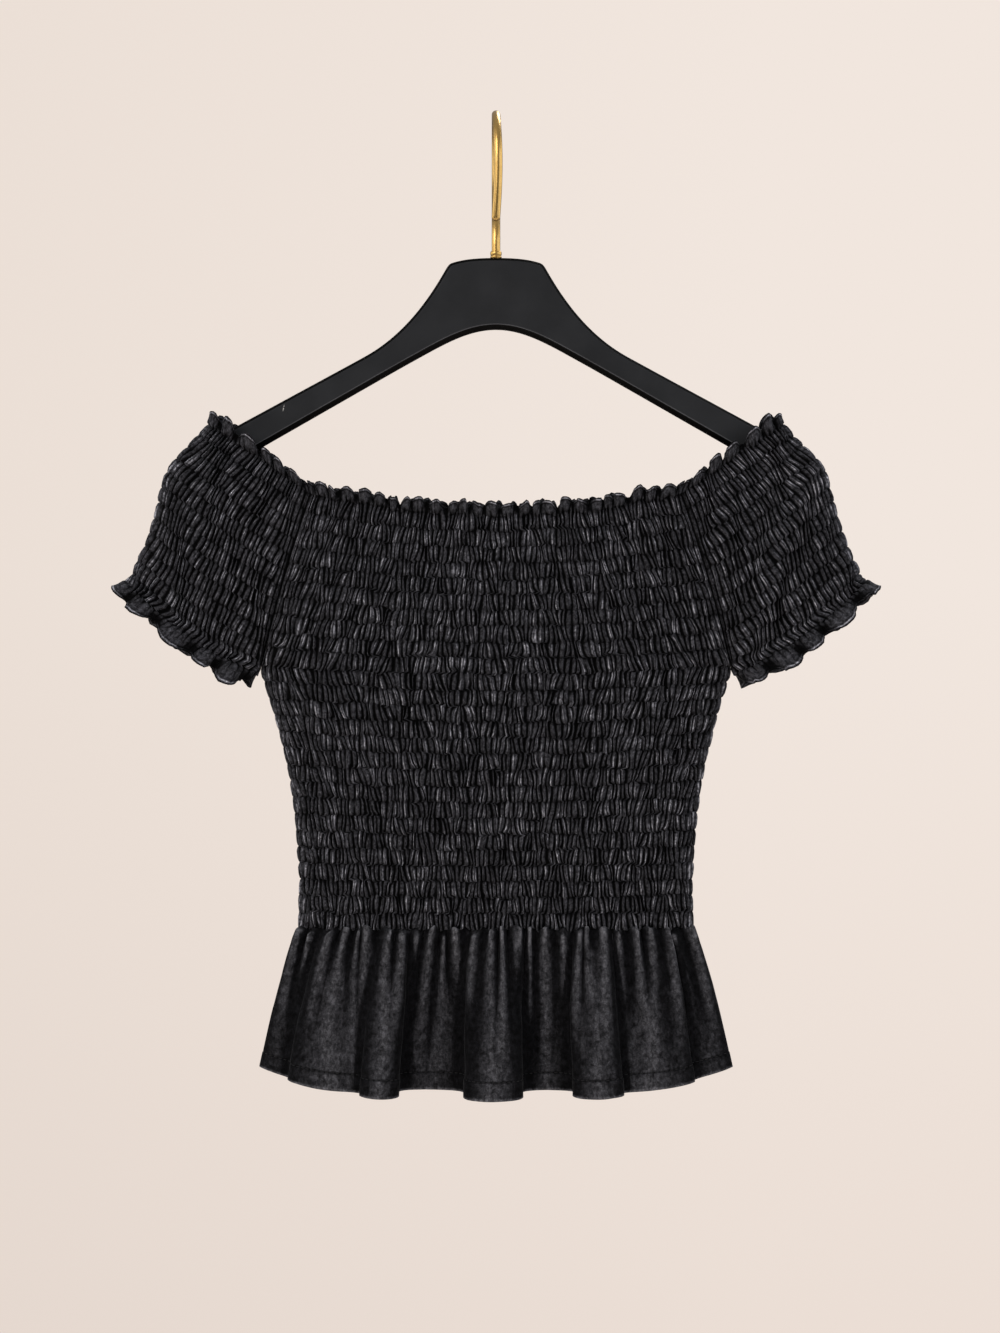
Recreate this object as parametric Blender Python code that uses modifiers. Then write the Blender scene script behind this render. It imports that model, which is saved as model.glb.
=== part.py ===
"""Off-shoulder top, shirred all over, with a gathered peplum, on a flat hanger with a wire hook.

Units are metres. The front faces -Y, left and right are as seen from the front, and +Z is up.
The origin is where a clothes rail bears on the inside of the hook's crown.
"""

import math
from collections import namedtuple

import bmesh
import bpy
from mathutils import Vector

MM = 0.001

# Cloth
SEAM_GAP = 0.3 * MM
CLOTH = 1.6 * MM  # thickness of the cloth's plain wall
PUFF = 2.3 * MM  # how far a shirred puff stands out of the wall
PANEL_COLUMNS = 50  # cloth points across a bodice or peplum panel, two to a gather
SLEEVE_COLUMNS = 32  # cloth points round a sleeve, two to a gather
FINE_STEPS = 240  # steps along a section before its points are spaced evenly

# Bodice, from the neckline's first row of elastic to the waist seam
ARMHOLE_BANDS = 10  # bands of puffs from the neckline to the underarm
LOWER_BANDS = 16  # bands of puffs from the underarm to the waist
BANDS = ARMHOLE_BANDS + LOWER_BANDS
NECK_SEAM_Z = -263 * MM  # where bodice and sleeve meet at the neckline
NECK_CENTRE_Z = -278 * MM
UNDERARM_Z = -382 * MM
WAIST_Z = -566 * MM
ROW_DIP = 2.2  # exponent of a row's dip from its ends to the centre
SEAM_DEPTH = 11 * MM  # armhole seam's distance from the middle plane at the neckline
UNDERARM_TURN = 10.0  # how late the armhole seam turns to face down
SIDE_ROUND = 4.0  # exponent of the side's roundness seen from above
INSIDE_ROW_STEP = 4  # the plain inside has one row of points for this many outside

Width = namedtuple("Width", "z half_width")
ARMHOLE = (
    Width(-263 * MM, 129.5 * MM),
    Width(-303 * MM, 142.5 * MM),
    Width(-344 * MM, 154.3 * MM),
    Width(-382 * MM, 163.5 * MM),
)
SIDE_SEAM = (
    Width(-382 * MM, 163.5 * MM),
    Width(-397 * MM, 158.8 * MM),
    Width(-421 * MM, 151.7 * MM),
    Width(-449 * MM, 144.8 * MM),
    Width(-477 * MM, 139.9 * MM),
    Width(-505 * MM, 137.1 * MM),
    Width(-535 * MM, 135.4 * MM),
    Width(-566 * MM, 136.3 * MM),
)
Depth = namedtuple("Depth", "z half_depth")
BODY_DEPTH = (
    Depth(-263 * MM, 13 * MM),
    Depth(-330 * MM, 17 * MM),
    Depth(-400 * MM, 20 * MM),
    Depth(-480 * MM, 19 * MM),
    Depth(-566 * MM, 16 * MM),
)

# Frills: the cloth's free edges beyond the last row of elastic
NECK_FRILL = 7 * MM
NECK_FRILL_WAVE = 3.0 * MM
CUFF_FRILL_WAVE = 3.6 * MM

# Sleeve, seen from the front, for the side at +X
Place = namedtuple("Place", "x z")
SLEEVE_FOLD = (
    Place(199.0 * MM, -215.0 * MM),
    Place(215.0 * MM, -231.0 * MM),
    Place(228.6 * MM, -246.5 * MM),
    Place(232.3 * MM, -263.0 * MM),
    Place(237.0 * MM, -280.0 * MM),
    Place(242.0 * MM, -297.0 * MM),
    Place(253.5 * MM, -321.5 * MM),
)
SLEEVE_FRILL_INNER = Place(132 * MM, -256 * MM)
SLEEVE_FRILL_PEAK = Place(196 * MM, -206 * MM)
CUFF_INNER = Place(178.0 * MM, -397.5 * MM)
CUFF_OUTER = Place(266.5 * MM, -332.0 * MM)
CUFF_BULGE = 5 * MM
CUFF_FLARE = 1.15  # half depth of the cuff's edge against its last row of elastic
SLEEVE_FOLD_ROUND = 6.0
SLEEVE_SEAM_ROUND = 6.0
SleeveDepth = namedtuple("SleeveDepth", "share half_depth")
SLEEVE_DEPTH = (
    SleeveDepth(0.0, 12.0 * MM),
    SleeveDepth(0.3, 14.5 * MM),
    SleeveDepth(0.6, 16.0 * MM),
    SleeveDepth(1.0, 13.5 * MM),
)

# Peplum
HEM_Z = -675.5 * MM
HEM_SIDE_LIFT = 13 * MM
HEM_LIFT_POWER = 4.0
HEM_FORWARD_DROP = 0.2  # how much lower a fold's hem hangs, per distance it stands out
HEM_HALF_WIDTH = 164 * MM
HEM_OVERLAP = 5 * MM  # how far a fold stands over the cloth behind its edge
FLARE_POWER = 0.75
PEPLUM_ROWS = (0.0, 0.05, 0.12, 0.25, 0.42, 0.6, 0.8, 1.0)
GATHER_WAVE = 2.2 * MM
GATHER_END = 0.6  # share of the drop by which the small gathers have run out
GATHER_START = 0.05
Fold = namedtuple("Fold", "left right depth")
FRONT_FOLDS = (
    Fold(-163 * MM, -146 * MM, 8 * MM),
    Fold(-146 * MM, -95 * MM, 22 * MM),
    Fold(-95 * MM, -67 * MM, 36 * MM),
    Fold(-67 * MM, -23 * MM, 14 * MM),
    Fold(-23 * MM, 19 * MM, 39 * MM),
    Fold(19 * MM, 53 * MM, 15 * MM),
    Fold(53 * MM, 89 * MM, 35 * MM),
    Fold(89 * MM, 139 * MM, 20 * MM),
    Fold(139 * MM, 163 * MM, 8 * MM),
)
BACK_FOLDS = (
    Fold(-163 * MM, -136 * MM, 10 * MM),
    Fold(-136 * MM, -98 * MM, 30 * MM),
    Fold(-98 * MM, -58 * MM, 13 * MM),
    Fold(-58 * MM, -12 * MM, 37 * MM),
    Fold(-12 * MM, 30 * MM, 16 * MM),
    Fold(30 * MM, 70 * MM, 36 * MM),
    Fold(70 * MM, 104 * MM, 14 * MM),
    Fold(104 * MM, 143 * MM, 27 * MM),
    Fold(143 * MM, 163 * MM, 8 * MM),
)

# Hanger
HANGER_THICKNESS = 11 * MM
HANGER_EDGE = 3.2 * MM
HEAD_TOP_Z = -97.3 * MM
HEAD_CORNER = Place(33 * MM, -101.5 * MM)
ARM_TOP_START = Place(92 * MM, -166.5 * MM)
ARM_BOTTOM_START = Place(60 * MM, -170.6 * MM)
ARM_END = Place(200 * MM, -237.7 * MM)  # centre of the arm's round end
ARM_END_RADIUS = 11 * MM
ARM_SLOPE = math.radians(28.8)
ARCH_Z = -147.4 * MM
OUTLINE_STEPS = 5
CIRCLE_HANDLE = 0.5523  # handle of a quarter circle, in radii

# Hook and ferrule
WIRE_RADIUS = 3.0 * MM
HOOK_RADIUS = 33.0 * MM  # of the wire's centre line
HOOK_CENTRE_Z = WIRE_RADIUS - HOOK_RADIUS
SHANK_TOP_Z = -88 * MM
TIP = Place(-30.5 * MM, -71.5 * MM)  # its x is the distance along Y here
HOOK_BOW = 1.6 * MM  # how far the front leg bends to the right of the shank
BORE_DEPTH = 16 * MM
BORE_CLEARANCE = 0.3 * MM
FERRULE_HEIGHT = 4.6 * MM
FERRULE_RADIUS = 4.0 * MM
ROUND_STEPS = 24

Paint = namedtuple("Paint", "colour roughness metallic")
VELOUR = Paint((0.017, 0.017, 0.019), 0.9, 0.0)
BLACK_LACQUER = Paint((0.018, 0.018, 0.019), 0.45, 0.0)
BRASS = Paint((0.72, 0.47, 0.13), 0.22, 1.0)


def lerp(a, b, share):
    return a + (b - a) * share


def through(rows, at):
    """The second column at a value of the first, on a smooth curve through the table's rows."""
    rows = sorted((row[0], row[1]) for row in rows)
    at = min(max(at, rows[0][0]), rows[-1][0])
    last = len(rows) - 1
    k = next(k for k in range(last) if at <= rows[k + 1][0])

    def slope(i):
        before, after = rows[max(i - 1, 0)], rows[min(i + 1, last)]
        return (after[1] - before[1]) / (after[0] - before[0])

    (x0, y0), (x1, y1) = rows[k], rows[k + 1]
    span = x1 - x0
    share = (at - x0) / span
    rest = 1 - share
    return (
        y0 * rest * rest * (1 + 2 * share)
        + y1 * share * share * (1 + 2 * rest)
        + span * share * rest * (slope(k) * rest - slope(k + 1) * share)
    )


def evenly(line, count):
    """The line again, as count + 1 points at equal distances along it."""
    along = [0.0]
    for before, after in zip(line, line[1:]):
        along.append(along[-1] + (after - before).length)
    spaced, k = [], 0
    for i in range(count + 1):
        target = along[-1] * i / count
        while k < len(line) - 2 and along[k + 1] < target:
            k += 1
        share = (target - along[k]) / (along[k + 1] - along[k])
        spaced.append(line[k].lerp(line[k + 1], min(share, 1.0)))
    return spaced


def rounded(line, times):
    """The line with its corners cut, its two ends kept."""
    for _ in range(times):
        cut = [line[0]]
        for a, b in zip(line, line[1:]):
            cut += [a.lerp(b, 0.25), a.lerp(b, 0.75)]
        line = cut + [line[-1]]
    return line


def row_end_z(row):
    """Height of a bodice row's two ends, on the armhole seam and then on the side seam."""
    if row <= ARMHOLE_BANDS:
        return lerp(NECK_SEAM_Z, UNDERARM_Z, row / ARMHOLE_BANDS)
    return lerp(UNDERARM_Z, WAIST_Z, (row - ARMHOLE_BANDS) / LOWER_BANDS)


def half_width(z):
    return through(ARMHOLE if z >= UNDERARM_Z else SIDE_SEAM, z)


def seam_depth(z):
    """The armhole seam's distance from the middle plane, which closes at the underarm."""
    fall = min((NECK_SEAM_Z - z) / (NECK_SEAM_Z - UNDERARM_Z), 1.0)
    return SEAM_DEPTH * math.sqrt(1 - fall * fall)


def seam_out(z, side, hand):
    """The way out of the cloth at the armhole seam or the side seam."""
    if z < UNDERARM_Z - MM:
        return Vector((hand, 0, 0))
    fall = ((NECK_SEAM_Z - z) / (NECK_SEAM_Z - UNDERARM_Z)) ** UNDERARM_TURN
    return Vector((0.5 * hand * fall, side * (1 - fall), -0.85 * fall)).normalized()


def bodice_row(row, side):
    """A row across the inside of the front (side -1) or back (side 1), in the order round the body."""
    end_z = row_end_z(row)
    centre_z = lerp(NECK_CENTRE_Z, WAIST_Z, row / BANDS)
    end_x = half_width(end_z) - (SEAM_GAP / 2 if row <= ARMHOLE_BANDS else 0)
    end_y, middle_y = seam_depth(end_z), through(BODY_DEPTH, end_z)
    fall = min((NECK_SEAM_Z - end_z) / (NECK_SEAM_Z - UNDERARM_Z), 1.0)
    power = lerp(1.0, 0.5, fall * fall * (3 - 2 * fall))
    line = []
    for step in range(FINE_STEPS + 1):
        t = (2 * step / FINE_STEPS - 1) * -side
        bow = (1 - abs(t) ** SIDE_ROUND) ** power
        y = side * (SEAM_GAP / 2 + lerp(end_y, middle_y, bow))
        z = lerp(centre_z, end_z, abs(t) ** ROW_DIP)
        line.append(Vector((t * end_x, y, z)))
    return evenly(line, PANEL_COLUMNS)


def outward(grid):
    """The way out of the cloth at each point of a grid of rows that run down and round."""
    ways = []
    for i, row in enumerate(grid):
        above, below = grid[max(i - 1, 0)], grid[min(i + 1, len(grid) - 1)]
        ways.append([])
        for j in range(len(row)):
            across = row[min(j + 1, len(row) - 1)] - row[max(j - 1, 0)]
            ways[-1].append((below[j] - above[j]).cross(across).normalized())
    return ways


def moved(grid, ways, by):
    """The grid with each point moved along its way out by a distance for its row and column."""
    return [
        [point + ways[i][j] * by(i, j) for j, point in enumerate(row)]
        for i, row in enumerate(grid)
    ]


def wave(j, columns, height):
    """Zigzag of a frill or a row of gathers, still at both seams."""
    return 0.0 if j in (0, columns) else height * (1 if j % 2 else -1)


def puff(i, j, first, last, columns):
    """Shirred puffs, each beside a dip and set off by one from the band above."""
    raised = (i + j) % 2 and first < i < last and 0 < j < columns
    return PUFF if raised else 0.0


def cloth_wall(name, inner, outer, inside_rows, joined_from=None):
    """A closed wall between two grids. From row joined_from on, its two side edges are one."""
    mesh = bmesh.new()
    last_row, last = len(outer) - 1, len(outer[0]) - 1
    joined_from = last_row + 1 if joined_from is None else joined_from

    def corners(grid, rows):
        made = {}
        for i in rows:
            made[i] = [mesh.verts.new(point) for point in grid[i][:last]]
            ends_meet = i >= joined_from
            made[i].append(made[i][0] if ends_meet else mesh.verts.new(grid[i][last]))
        return made

    out = corners(outer, range(last_row + 1))
    into = corners(inner, inside_rows)
    for layer, rows in ((out, range(last_row + 1)), (into, inside_rows)):
        for a, b in zip(rows, rows[1:]):
            for j in range(last):
                square = [layer[a][j], layer[b][j], layer[b][j + 1], layer[a][j + 1]]
                if (a + j) % 2:  # the fold runs from dip to dip, so each puff is a peak
                    square = square[1:] + square[:1]
                mesh.faces.new(square[:3])
                mesh.faces.new(square[2:] + square[:1])
    for i in (0, last_row):
        for j in range(last):
            mesh.faces.new((out[i][j], out[i][j + 1], into[i][j + 1], into[i][j]))
    for a, b in zip(inside_rows, inside_rows[1:]):
        if b <= joined_from:
            for j in (0, last):
                mesh.faces.new([into[b][j], into[a][j]] + [out[i][j] for i in range(a, b + 1)])
    bmesh.ops.recalc_face_normals(mesh, faces=mesh.faces)
    return mesh_object(name, mesh, VELOUR)


def bodice_panel(name, side):
    """Front or back: a frill, then bands of puffs down to the waist."""
    grid = [bodice_row(row, side) for row in range(BANDS + 1)]
    ways = outward(grid)
    ends = ((0, side), (PANEL_COLUMNS, -side))
    for i, row in enumerate(grid):
        for j, hand in ends:
            ways[i][j] = seam_out(row[j].z, side, hand)
    for way in ways[-1]:
        way.z = 0
        way.normalize()
    frill = [point + Vector((0, 0, NECK_FRILL)) for point in grid[0]]
    grid, ways = [frill] + grid, [ways[0]] + ways

    def ripple(i, j):
        return wave(j, PANEL_COLUMNS, NECK_FRILL_WAVE) if i == 0 else 0.0

    def outside(i, j):
        return ripple(i, j) + CLOTH + puff(i, j, 1, BANDS + 1, PANEL_COLUMNS)

    inside_rows = [0, 1] + list(range(1 + INSIDE_ROW_STEP, BANDS, INSIDE_ROW_STEP)) + [BANDS + 1]
    return cloth_wall(name, moved(grid, ways, ripple), moved(grid, ways, outside), inside_rows)


def sleeve_row(inner, outer, inner_y, middle_y, bulge):
    """A row round the inside of the +X sleeve: front seam, outer fold, back seam."""
    run = Vector((outer.x - inner.x, 0, outer.z - inner.z))
    down = Vector((-run.z, 0, run.x)).normalized() * -1
    opened = 1 - (inner_y / middle_y) ** 2
    line = []
    for step in range(FINE_STEPS + 1):
        turn = 2 * step / FINE_STEPS
        u, side = (turn, -1) if turn <= 1 else (2 - turn, 1)
        fold = max(1 - u**SLEEVE_FOLD_ROUND, 0.0)
        seam = 1 - opened * (1 - u) ** SLEEVE_SEAM_ROUND
        point = Vector((inner.x, 0, inner.z)) + run * u + down * bulge * 4 * u * (1 - u)
        point.y = side * middle_y * math.sqrt(fold * seam)
        line.append(point)
    return evenly(line, SLEEVE_COLUMNS)


def sleeve_grid():
    """Rows of the +X sleeve's inside: neckline frill, rows of elastic, then the cuff's frill."""
    fold = evenly([Vector((p.x, 0, p.z)) for p in SLEEVE_FOLD], ARMHOLE_BANDS)
    rows = []
    for k in range(ARMHOLE_BANDS + 1):
        share = k / ARMHOLE_BANDS
        z = row_end_z(k)
        inner = Place(half_width(z) + SEAM_GAP / 2, z)
        seam_y = seam_depth(z) + SEAM_GAP / 2 if k < ARMHOLE_BANDS else 0.0
        bulge = CUFF_BULGE * share
        rows.append(sleeve_row(inner, fold[k], seam_y, through(SLEEVE_DEPTH, share), bulge))
    frill = sleeve_row(SLEEVE_FRILL_INNER, SLEEVE_FRILL_PEAK, SEAM_DEPTH, SLEEVE_DEPTH[0].half_depth, 0)
    edge_depth = SLEEVE_DEPTH[-1].half_depth * CUFF_FLARE
    edge = sleeve_row(CUFF_INNER, CUFF_OUTER, 0.0, edge_depth, CUFF_BULGE)
    middle = [a.lerp(b, 0.5) for a, b in zip(rows[-1], edge)]
    return [frill] + rows + [middle, edge]


def sleeve(name, hand):
    """One sleeve: open at the armhole, closed from the underarm to the cuff's frill."""
    grid = sleeve_grid()
    underarm = ARMHOLE_BANDS + 1
    ways = outward(grid)
    for i in range(1, underarm + 1):
        for j, side in ((0, -1), (SLEEVE_COLUMNS, 1)):
            ways[i][j] = seam_out(row_end_z(i - 1), side, 1)
    ways[0] = [way.copy() for way in ways[1]]
    for i in range(underarm + 1, len(grid)):
        closing = (ways[i][0] + ways[i][SLEEVE_COLUMNS]).normalized()
        ways[i][0] = ways[i][SLEEVE_COLUMNS] = closing

    def ripple(i, j):
        if i == 0:
            return wave(j, SLEEVE_COLUMNS, NECK_FRILL_WAVE)
        share = max(i - underarm, 0) / 2
        return wave(j, SLEEVE_COLUMNS, CUFF_FRILL_WAVE * share)

    def outside(i, j):
        return ripple(i, j) + CLOTH + puff(i, j, 1, underarm, SLEEVE_COLUMNS)

    inner, outer = moved(grid, ways, ripple), moved(grid, ways, outside)
    if hand < 0:
        inner, outer = (
            [[Vector((-p.x, p.y, p.z)) for p in reversed(row)] for row in layer]
            for layer in (inner, outer)
        )
    inside_rows = [0, 1, 4, 6, 8, 10, underarm, underarm + 1, underarm + 2]
    return cloth_wall(name, inner, outer, inside_rows, joined_from=underarm)


def hem_line(folds, side):
    """The hem from above, in the order round the body: each fold's edge stands over the next."""
    line = [Vector((-HEM_HALF_WIDTH, 0, 0)), Vector((-HEM_HALF_WIDTH, folds[0].depth * 0.7, 0))]
    for before, after in zip(folds, folds[1:]):
        forward = before.depth > after.depth
        edge = before.right
        line.append(Vector((edge if forward else edge + HEM_OVERLAP, before.depth, 0)))
        line.append(Vector((edge - HEM_OVERLAP if forward else edge, after.depth, 0)))
    line.append(Vector((HEM_HALF_WIDTH, folds[-1].depth * 0.7, 0)))
    line.append(Vector((HEM_HALF_WIDTH, 0, 0)))
    for point in line:
        point.y = side * (point.y + SEAM_GAP / 2)
    line = evenly(rounded(line, 2), PANEL_COLUMNS)
    for point in line:
        lift = min(abs(point.x) / HEM_HALF_WIDTH, 1.0) ** HEM_LIFT_POWER
        point.z = HEM_Z + HEM_SIDE_LIFT * lift - HEM_FORWARD_DROP * abs(point.y)
    return line if side < 0 else line[::-1]


def gather(share):
    """Height of the small gathers under the waist seam at a share of the drop."""
    if share < GATHER_START:
        return GATHER_WAVE * share / GATHER_START
    return GATHER_WAVE * max(1 - (share - GATHER_START) / (GATHER_END - GATHER_START), 0.0)


def peplum_panel(name, folds, side):
    """Front or back of the peplum, gathered into the waist seam and falling in deep folds."""
    top = bodice_row(BANDS, side)
    for point in top:
        point.z -= SEAM_GAP
    hem = hem_line(folds, side)
    grid = []
    for share in PEPLUM_ROWS:
        row = []
        for a, b in zip(top, hem):
            point = a.lerp(b, share**FLARE_POWER)
            point.z = lerp(a.z, b.z, share)
            row.append(point)
        grid.append(row)
    ways = outward(grid)
    for i, row_ways in enumerate(ways):
        for j, hand in ((0, side), (PANEL_COLUMNS, -side)):
            row_ways[j] = Vector((hand, 0, 0))
        if i == 0:
            for way in row_ways:
                way.z = 0
                way.normalize()

    def ripple(i, j):
        return wave(j, PANEL_COLUMNS, gather(PEPLUM_ROWS[i]))

    def outside(i, j):
        return ripple(i, j) + CLOTH

    inner, outer = moved(grid, ways, ripple), moved(grid, ways, outside)
    return cloth_wall(name, inner, outer, list(range(len(grid))))


def painted(name, paint):
    material = bpy.data.materials.get(name) or bpy.data.materials.new(name)
    material.use_nodes = True
    shader = material.node_tree.nodes["Principled BSDF"]
    shader.inputs["Base Color"].default_value = (*paint.colour, 1)
    shader.inputs["Roughness"].default_value = paint.roughness
    shader.inputs["Metallic"].default_value = paint.metallic
    return material


def placed(name, data, paint, collection="off_shoulder_top"):
    """A new object in its collection, with its own material."""
    obj = bpy.data.objects.new(name, data)
    if collection not in bpy.data.collections:
        bpy.context.scene.collection.children.link(bpy.data.collections.new(collection))
    bpy.data.collections[collection].objects.link(obj)
    data.materials.append(painted(name, paint))
    return obj


def mesh_object(name, made, paint, collection="off_shoulder_top"):
    data = bpy.data.meshes.new(name)
    made.to_mesh(data)
    made.free()
    return placed(name, data, paint, collection)


def hanger_outline():
    """The hanger's outline as (point, handle before, handle after), clockwise from the head."""
    along = Vector((math.cos(ARM_SLOPE), -math.sin(ARM_SLOPE)))
    up = Vector((math.sin(ARM_SLOPE), math.cos(ARM_SLOPE)))
    end, round_by = Vector(ARM_END), ARM_END_RADIUS * CIRCLE_HANDLE
    corner, top = Vector(HEAD_CORNER), Vector(ARM_TOP_START)
    bottom = Vector(ARM_BOTTOM_START)
    upper, tip = end + up * ARM_END_RADIUS, end + along * ARM_END_RADIUS
    lower = end - up * ARM_END_RADIUS
    half = [
        (corner, corner + Vector((-7, 2.2)) * MM, corner + Vector((16, -29.5)) * MM),
        (top, top - along * 28 * MM, top + along * 20 * MM),
        (upper, upper - along * 20 * MM, upper + along * round_by),
        (tip, tip + up * round_by, tip - up * round_by),
        (lower, lower + along * round_by, lower - along * 20 * MM),
        (bottom, bottom + along * 20 * MM, bottom - along * 26 * MM),
    ]
    head, arch = Vector((0, HEAD_TOP_Z)), Vector((0, ARCH_Z))
    across = Vector((20 * MM, 0))
    mirrored = [
        tuple(Vector((-v.x, v.y)) for v in (point, after, before))
        for point, before, after in reversed(half)
    ]
    return [(head, head - across, head + across), *half, (arch, arch + across, arch - across), *mirrored]


def hanger():
    """Flat shaped board with rounded edges and a blind bore for the hook's shank."""
    curve = bpy.data.curves.new("hanger_outline", "CURVE")
    curve.dimensions, curve.fill_mode = "2D", "BOTH"
    curve.extrude, curve.resolution_u = HANGER_THICKNESS / 2, OUTLINE_STEPS
    spline = curve.splines.new("BEZIER")
    outline = hanger_outline()
    spline.bezier_points.add(len(outline) - 1)
    spline.use_cyclic_u = True
    for knot, (point, before, after) in zip(spline.bezier_points, outline):
        knot.handle_left_type = knot.handle_right_type = "FREE"
        knot.co = (*point, 0)
        knot.handle_left = (*before, 0)
        knot.handle_right = (*after, 0)
    flat = bpy.data.objects.new("hanger_outline", curve)
    data = bpy.data.meshes.new_from_object(flat)
    board = bmesh.new()
    board.from_mesh(data)
    bmesh.ops.remove_doubles(board, verts=board.verts, dist=0.01 * MM)
    bpy.data.objects.remove(flat)
    bpy.data.meshes.remove(data)
    body = mesh_object("hanger", board, BLACK_LACQUER)
    body.rotation_euler = (math.pi / 2, 0, 0)
    bevel = body.modifiers.new("rounded_edges", "BEVEL")
    bevel.width, bevel.segments = HANGER_EDGE, 3
    bevel.limit_method, bevel.angle_limit = "ANGLE", math.radians(50)
    cut = body.modifiers.new("shank_bore", "BOOLEAN")
    cut.operation, cut.object = "DIFFERENCE", bore_cutter()
    return body


def bore_cutter():
    made = bmesh.new()
    radius, clear_above = WIRE_RADIUS + BORE_CLEARANCE, 6 * MM
    depth = BORE_DEPTH + clear_above
    bmesh.ops.create_cone(
        made, cap_ends=True, segments=ROUND_STEPS, radius1=radius, radius2=radius, depth=depth
    )
    cutter = mesh_object("shank_bore_cutter", made, BLACK_LACQUER, "cutters")
    cutter.location.z = HEAD_TOP_Z + clear_above - depth / 2
    cutter.hide_render = True
    cutter.display_type = "WIRE"
    return cutter


def hook_path():
    """The wire's centre line: up from the bore, round behind the rail, over it and down in front."""
    bottom = HEAD_TOP_Z - BORE_DEPTH + BORE_CLEARANCE
    path = [Vector((0, 0, bottom)), Vector((0, 0, HEAD_TOP_Z))]
    knots = (
        Vector((0, 0, SHANK_TOP_Z)),
        Vector((0, 0, -64 * MM)),
        Vector((0, HOOK_RADIUS, -57 * MM)),
        Vector((0, HOOK_RADIUS, HOOK_CENTRE_Z)),
    )
    for step in range(9):
        t = step / 8
        weights = ((1 - t) ** 3, 3 * (1 - t) ** 2 * t, 3 * (1 - t) * t * t, t**3)
        path.append(sum((k * w for k, w in zip(knots, weights)), Vector()))
    crown_steps = 16
    for step in range(1, crown_steps + 1):
        angle = math.pi * step / crown_steps
        y, z = HOOK_RADIUS * math.cos(angle), HOOK_CENTRE_Z + HOOK_RADIUS * math.sin(angle)
        path.append(Vector((0, y, z)))
    for step in range(1, 7):
        share = step / 6
        y = lerp(-HOOK_RADIUS, TIP.x, share * share)
        path.append(Vector((0, y, lerp(HOOK_CENTRE_Z, TIP.z, share))))
    for point in path:
        if point.y < 0:
            share = (WIRE_RADIUS - point.z) / (WIRE_RADIUS - TIP.z)
            point.x = HOOK_BOW * math.sin(math.pi * share)
    return path


def hook():
    """Bent wire with a domed tip."""
    curve = bpy.data.curves.new("hanger_hook", "CURVE")
    curve.dimensions, curve.use_fill_caps = "3D", True
    curve.bevel_depth, curve.bevel_resolution = WIRE_RADIUS, 2
    path = hook_path()
    last_way = (path[-1] - path[-2]).normalized()
    dome = ((0.45, 0.89), (0.8, 0.6), (0.98, 0.2))  # reach and radius, in wire radii
    spline = curve.splines.new("POLY")
    spline.points.add(len(path) + len(dome) - 1)
    for point, place in zip(spline.points, path):
        point.co = (*place, 1)
    for point, (reach, radius) in zip(spline.points[len(path) :], dome):
        point.co = (*(path[-1] + last_way * WIRE_RADIUS * reach), 1)
        point.radius = radius
    return placed("hanger_hook", curve, BRASS)


def ferrule():
    """Collar round the shank where it enters the hanger's head."""
    low = HEAD_TOP_Z + SEAM_GAP
    inner, high = WIRE_RADIUS + BORE_CLEARANCE, low + FERRULE_HEIGHT
    chamfer = 0.5 * MM
    profile = (
        (FERRULE_RADIUS - chamfer, high),
        (FERRULE_RADIUS, high - chamfer),
        (FERRULE_RADIUS, low),
        (inner, low),
        (inner, high),
    )
    made = bmesh.new()
    corners = [made.verts.new((x, 0, z)) for x, z in profile]
    for a, b in zip(corners, corners[1:] + corners[:1]):
        made.edges.new((a, b))
    ring = mesh_object("hook_ferrule", made, BRASS)
    turn = ring.modifiers.new("turned", "SCREW")
    turn.steps = turn.render_steps = ROUND_STEPS
    turn.use_merge_vertices, turn.merge_threshold = True, 0.01 * MM
    return ring


def main():
    for obj in list(bpy.data.objects):
        bpy.data.objects.remove(obj)
    bodice_panel("bodice_front", -1)
    bodice_panel("bodice_back", 1)
    sleeve("sleeve_left", -1)
    sleeve("sleeve_right", 1)
    peplum_panel("peplum_front", FRONT_FOLDS, -1)
    peplum_panel("peplum_back", BACK_FOLDS, 1)
    hanger()
    hook()
    ferrule()


main()
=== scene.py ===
"""Looks for the off-shoulder top on its hanger.

Cloth pieces are thin walls on the solids' own forms: shirred puffs between rows of elastic
thread, frilled free edges, and a gathered peplum with a turned and stitched hem.
Units are metres. The front faces -Y, left and right are as seen from the front, +Z is up.
"""

import math
from collections import namedtuple

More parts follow.
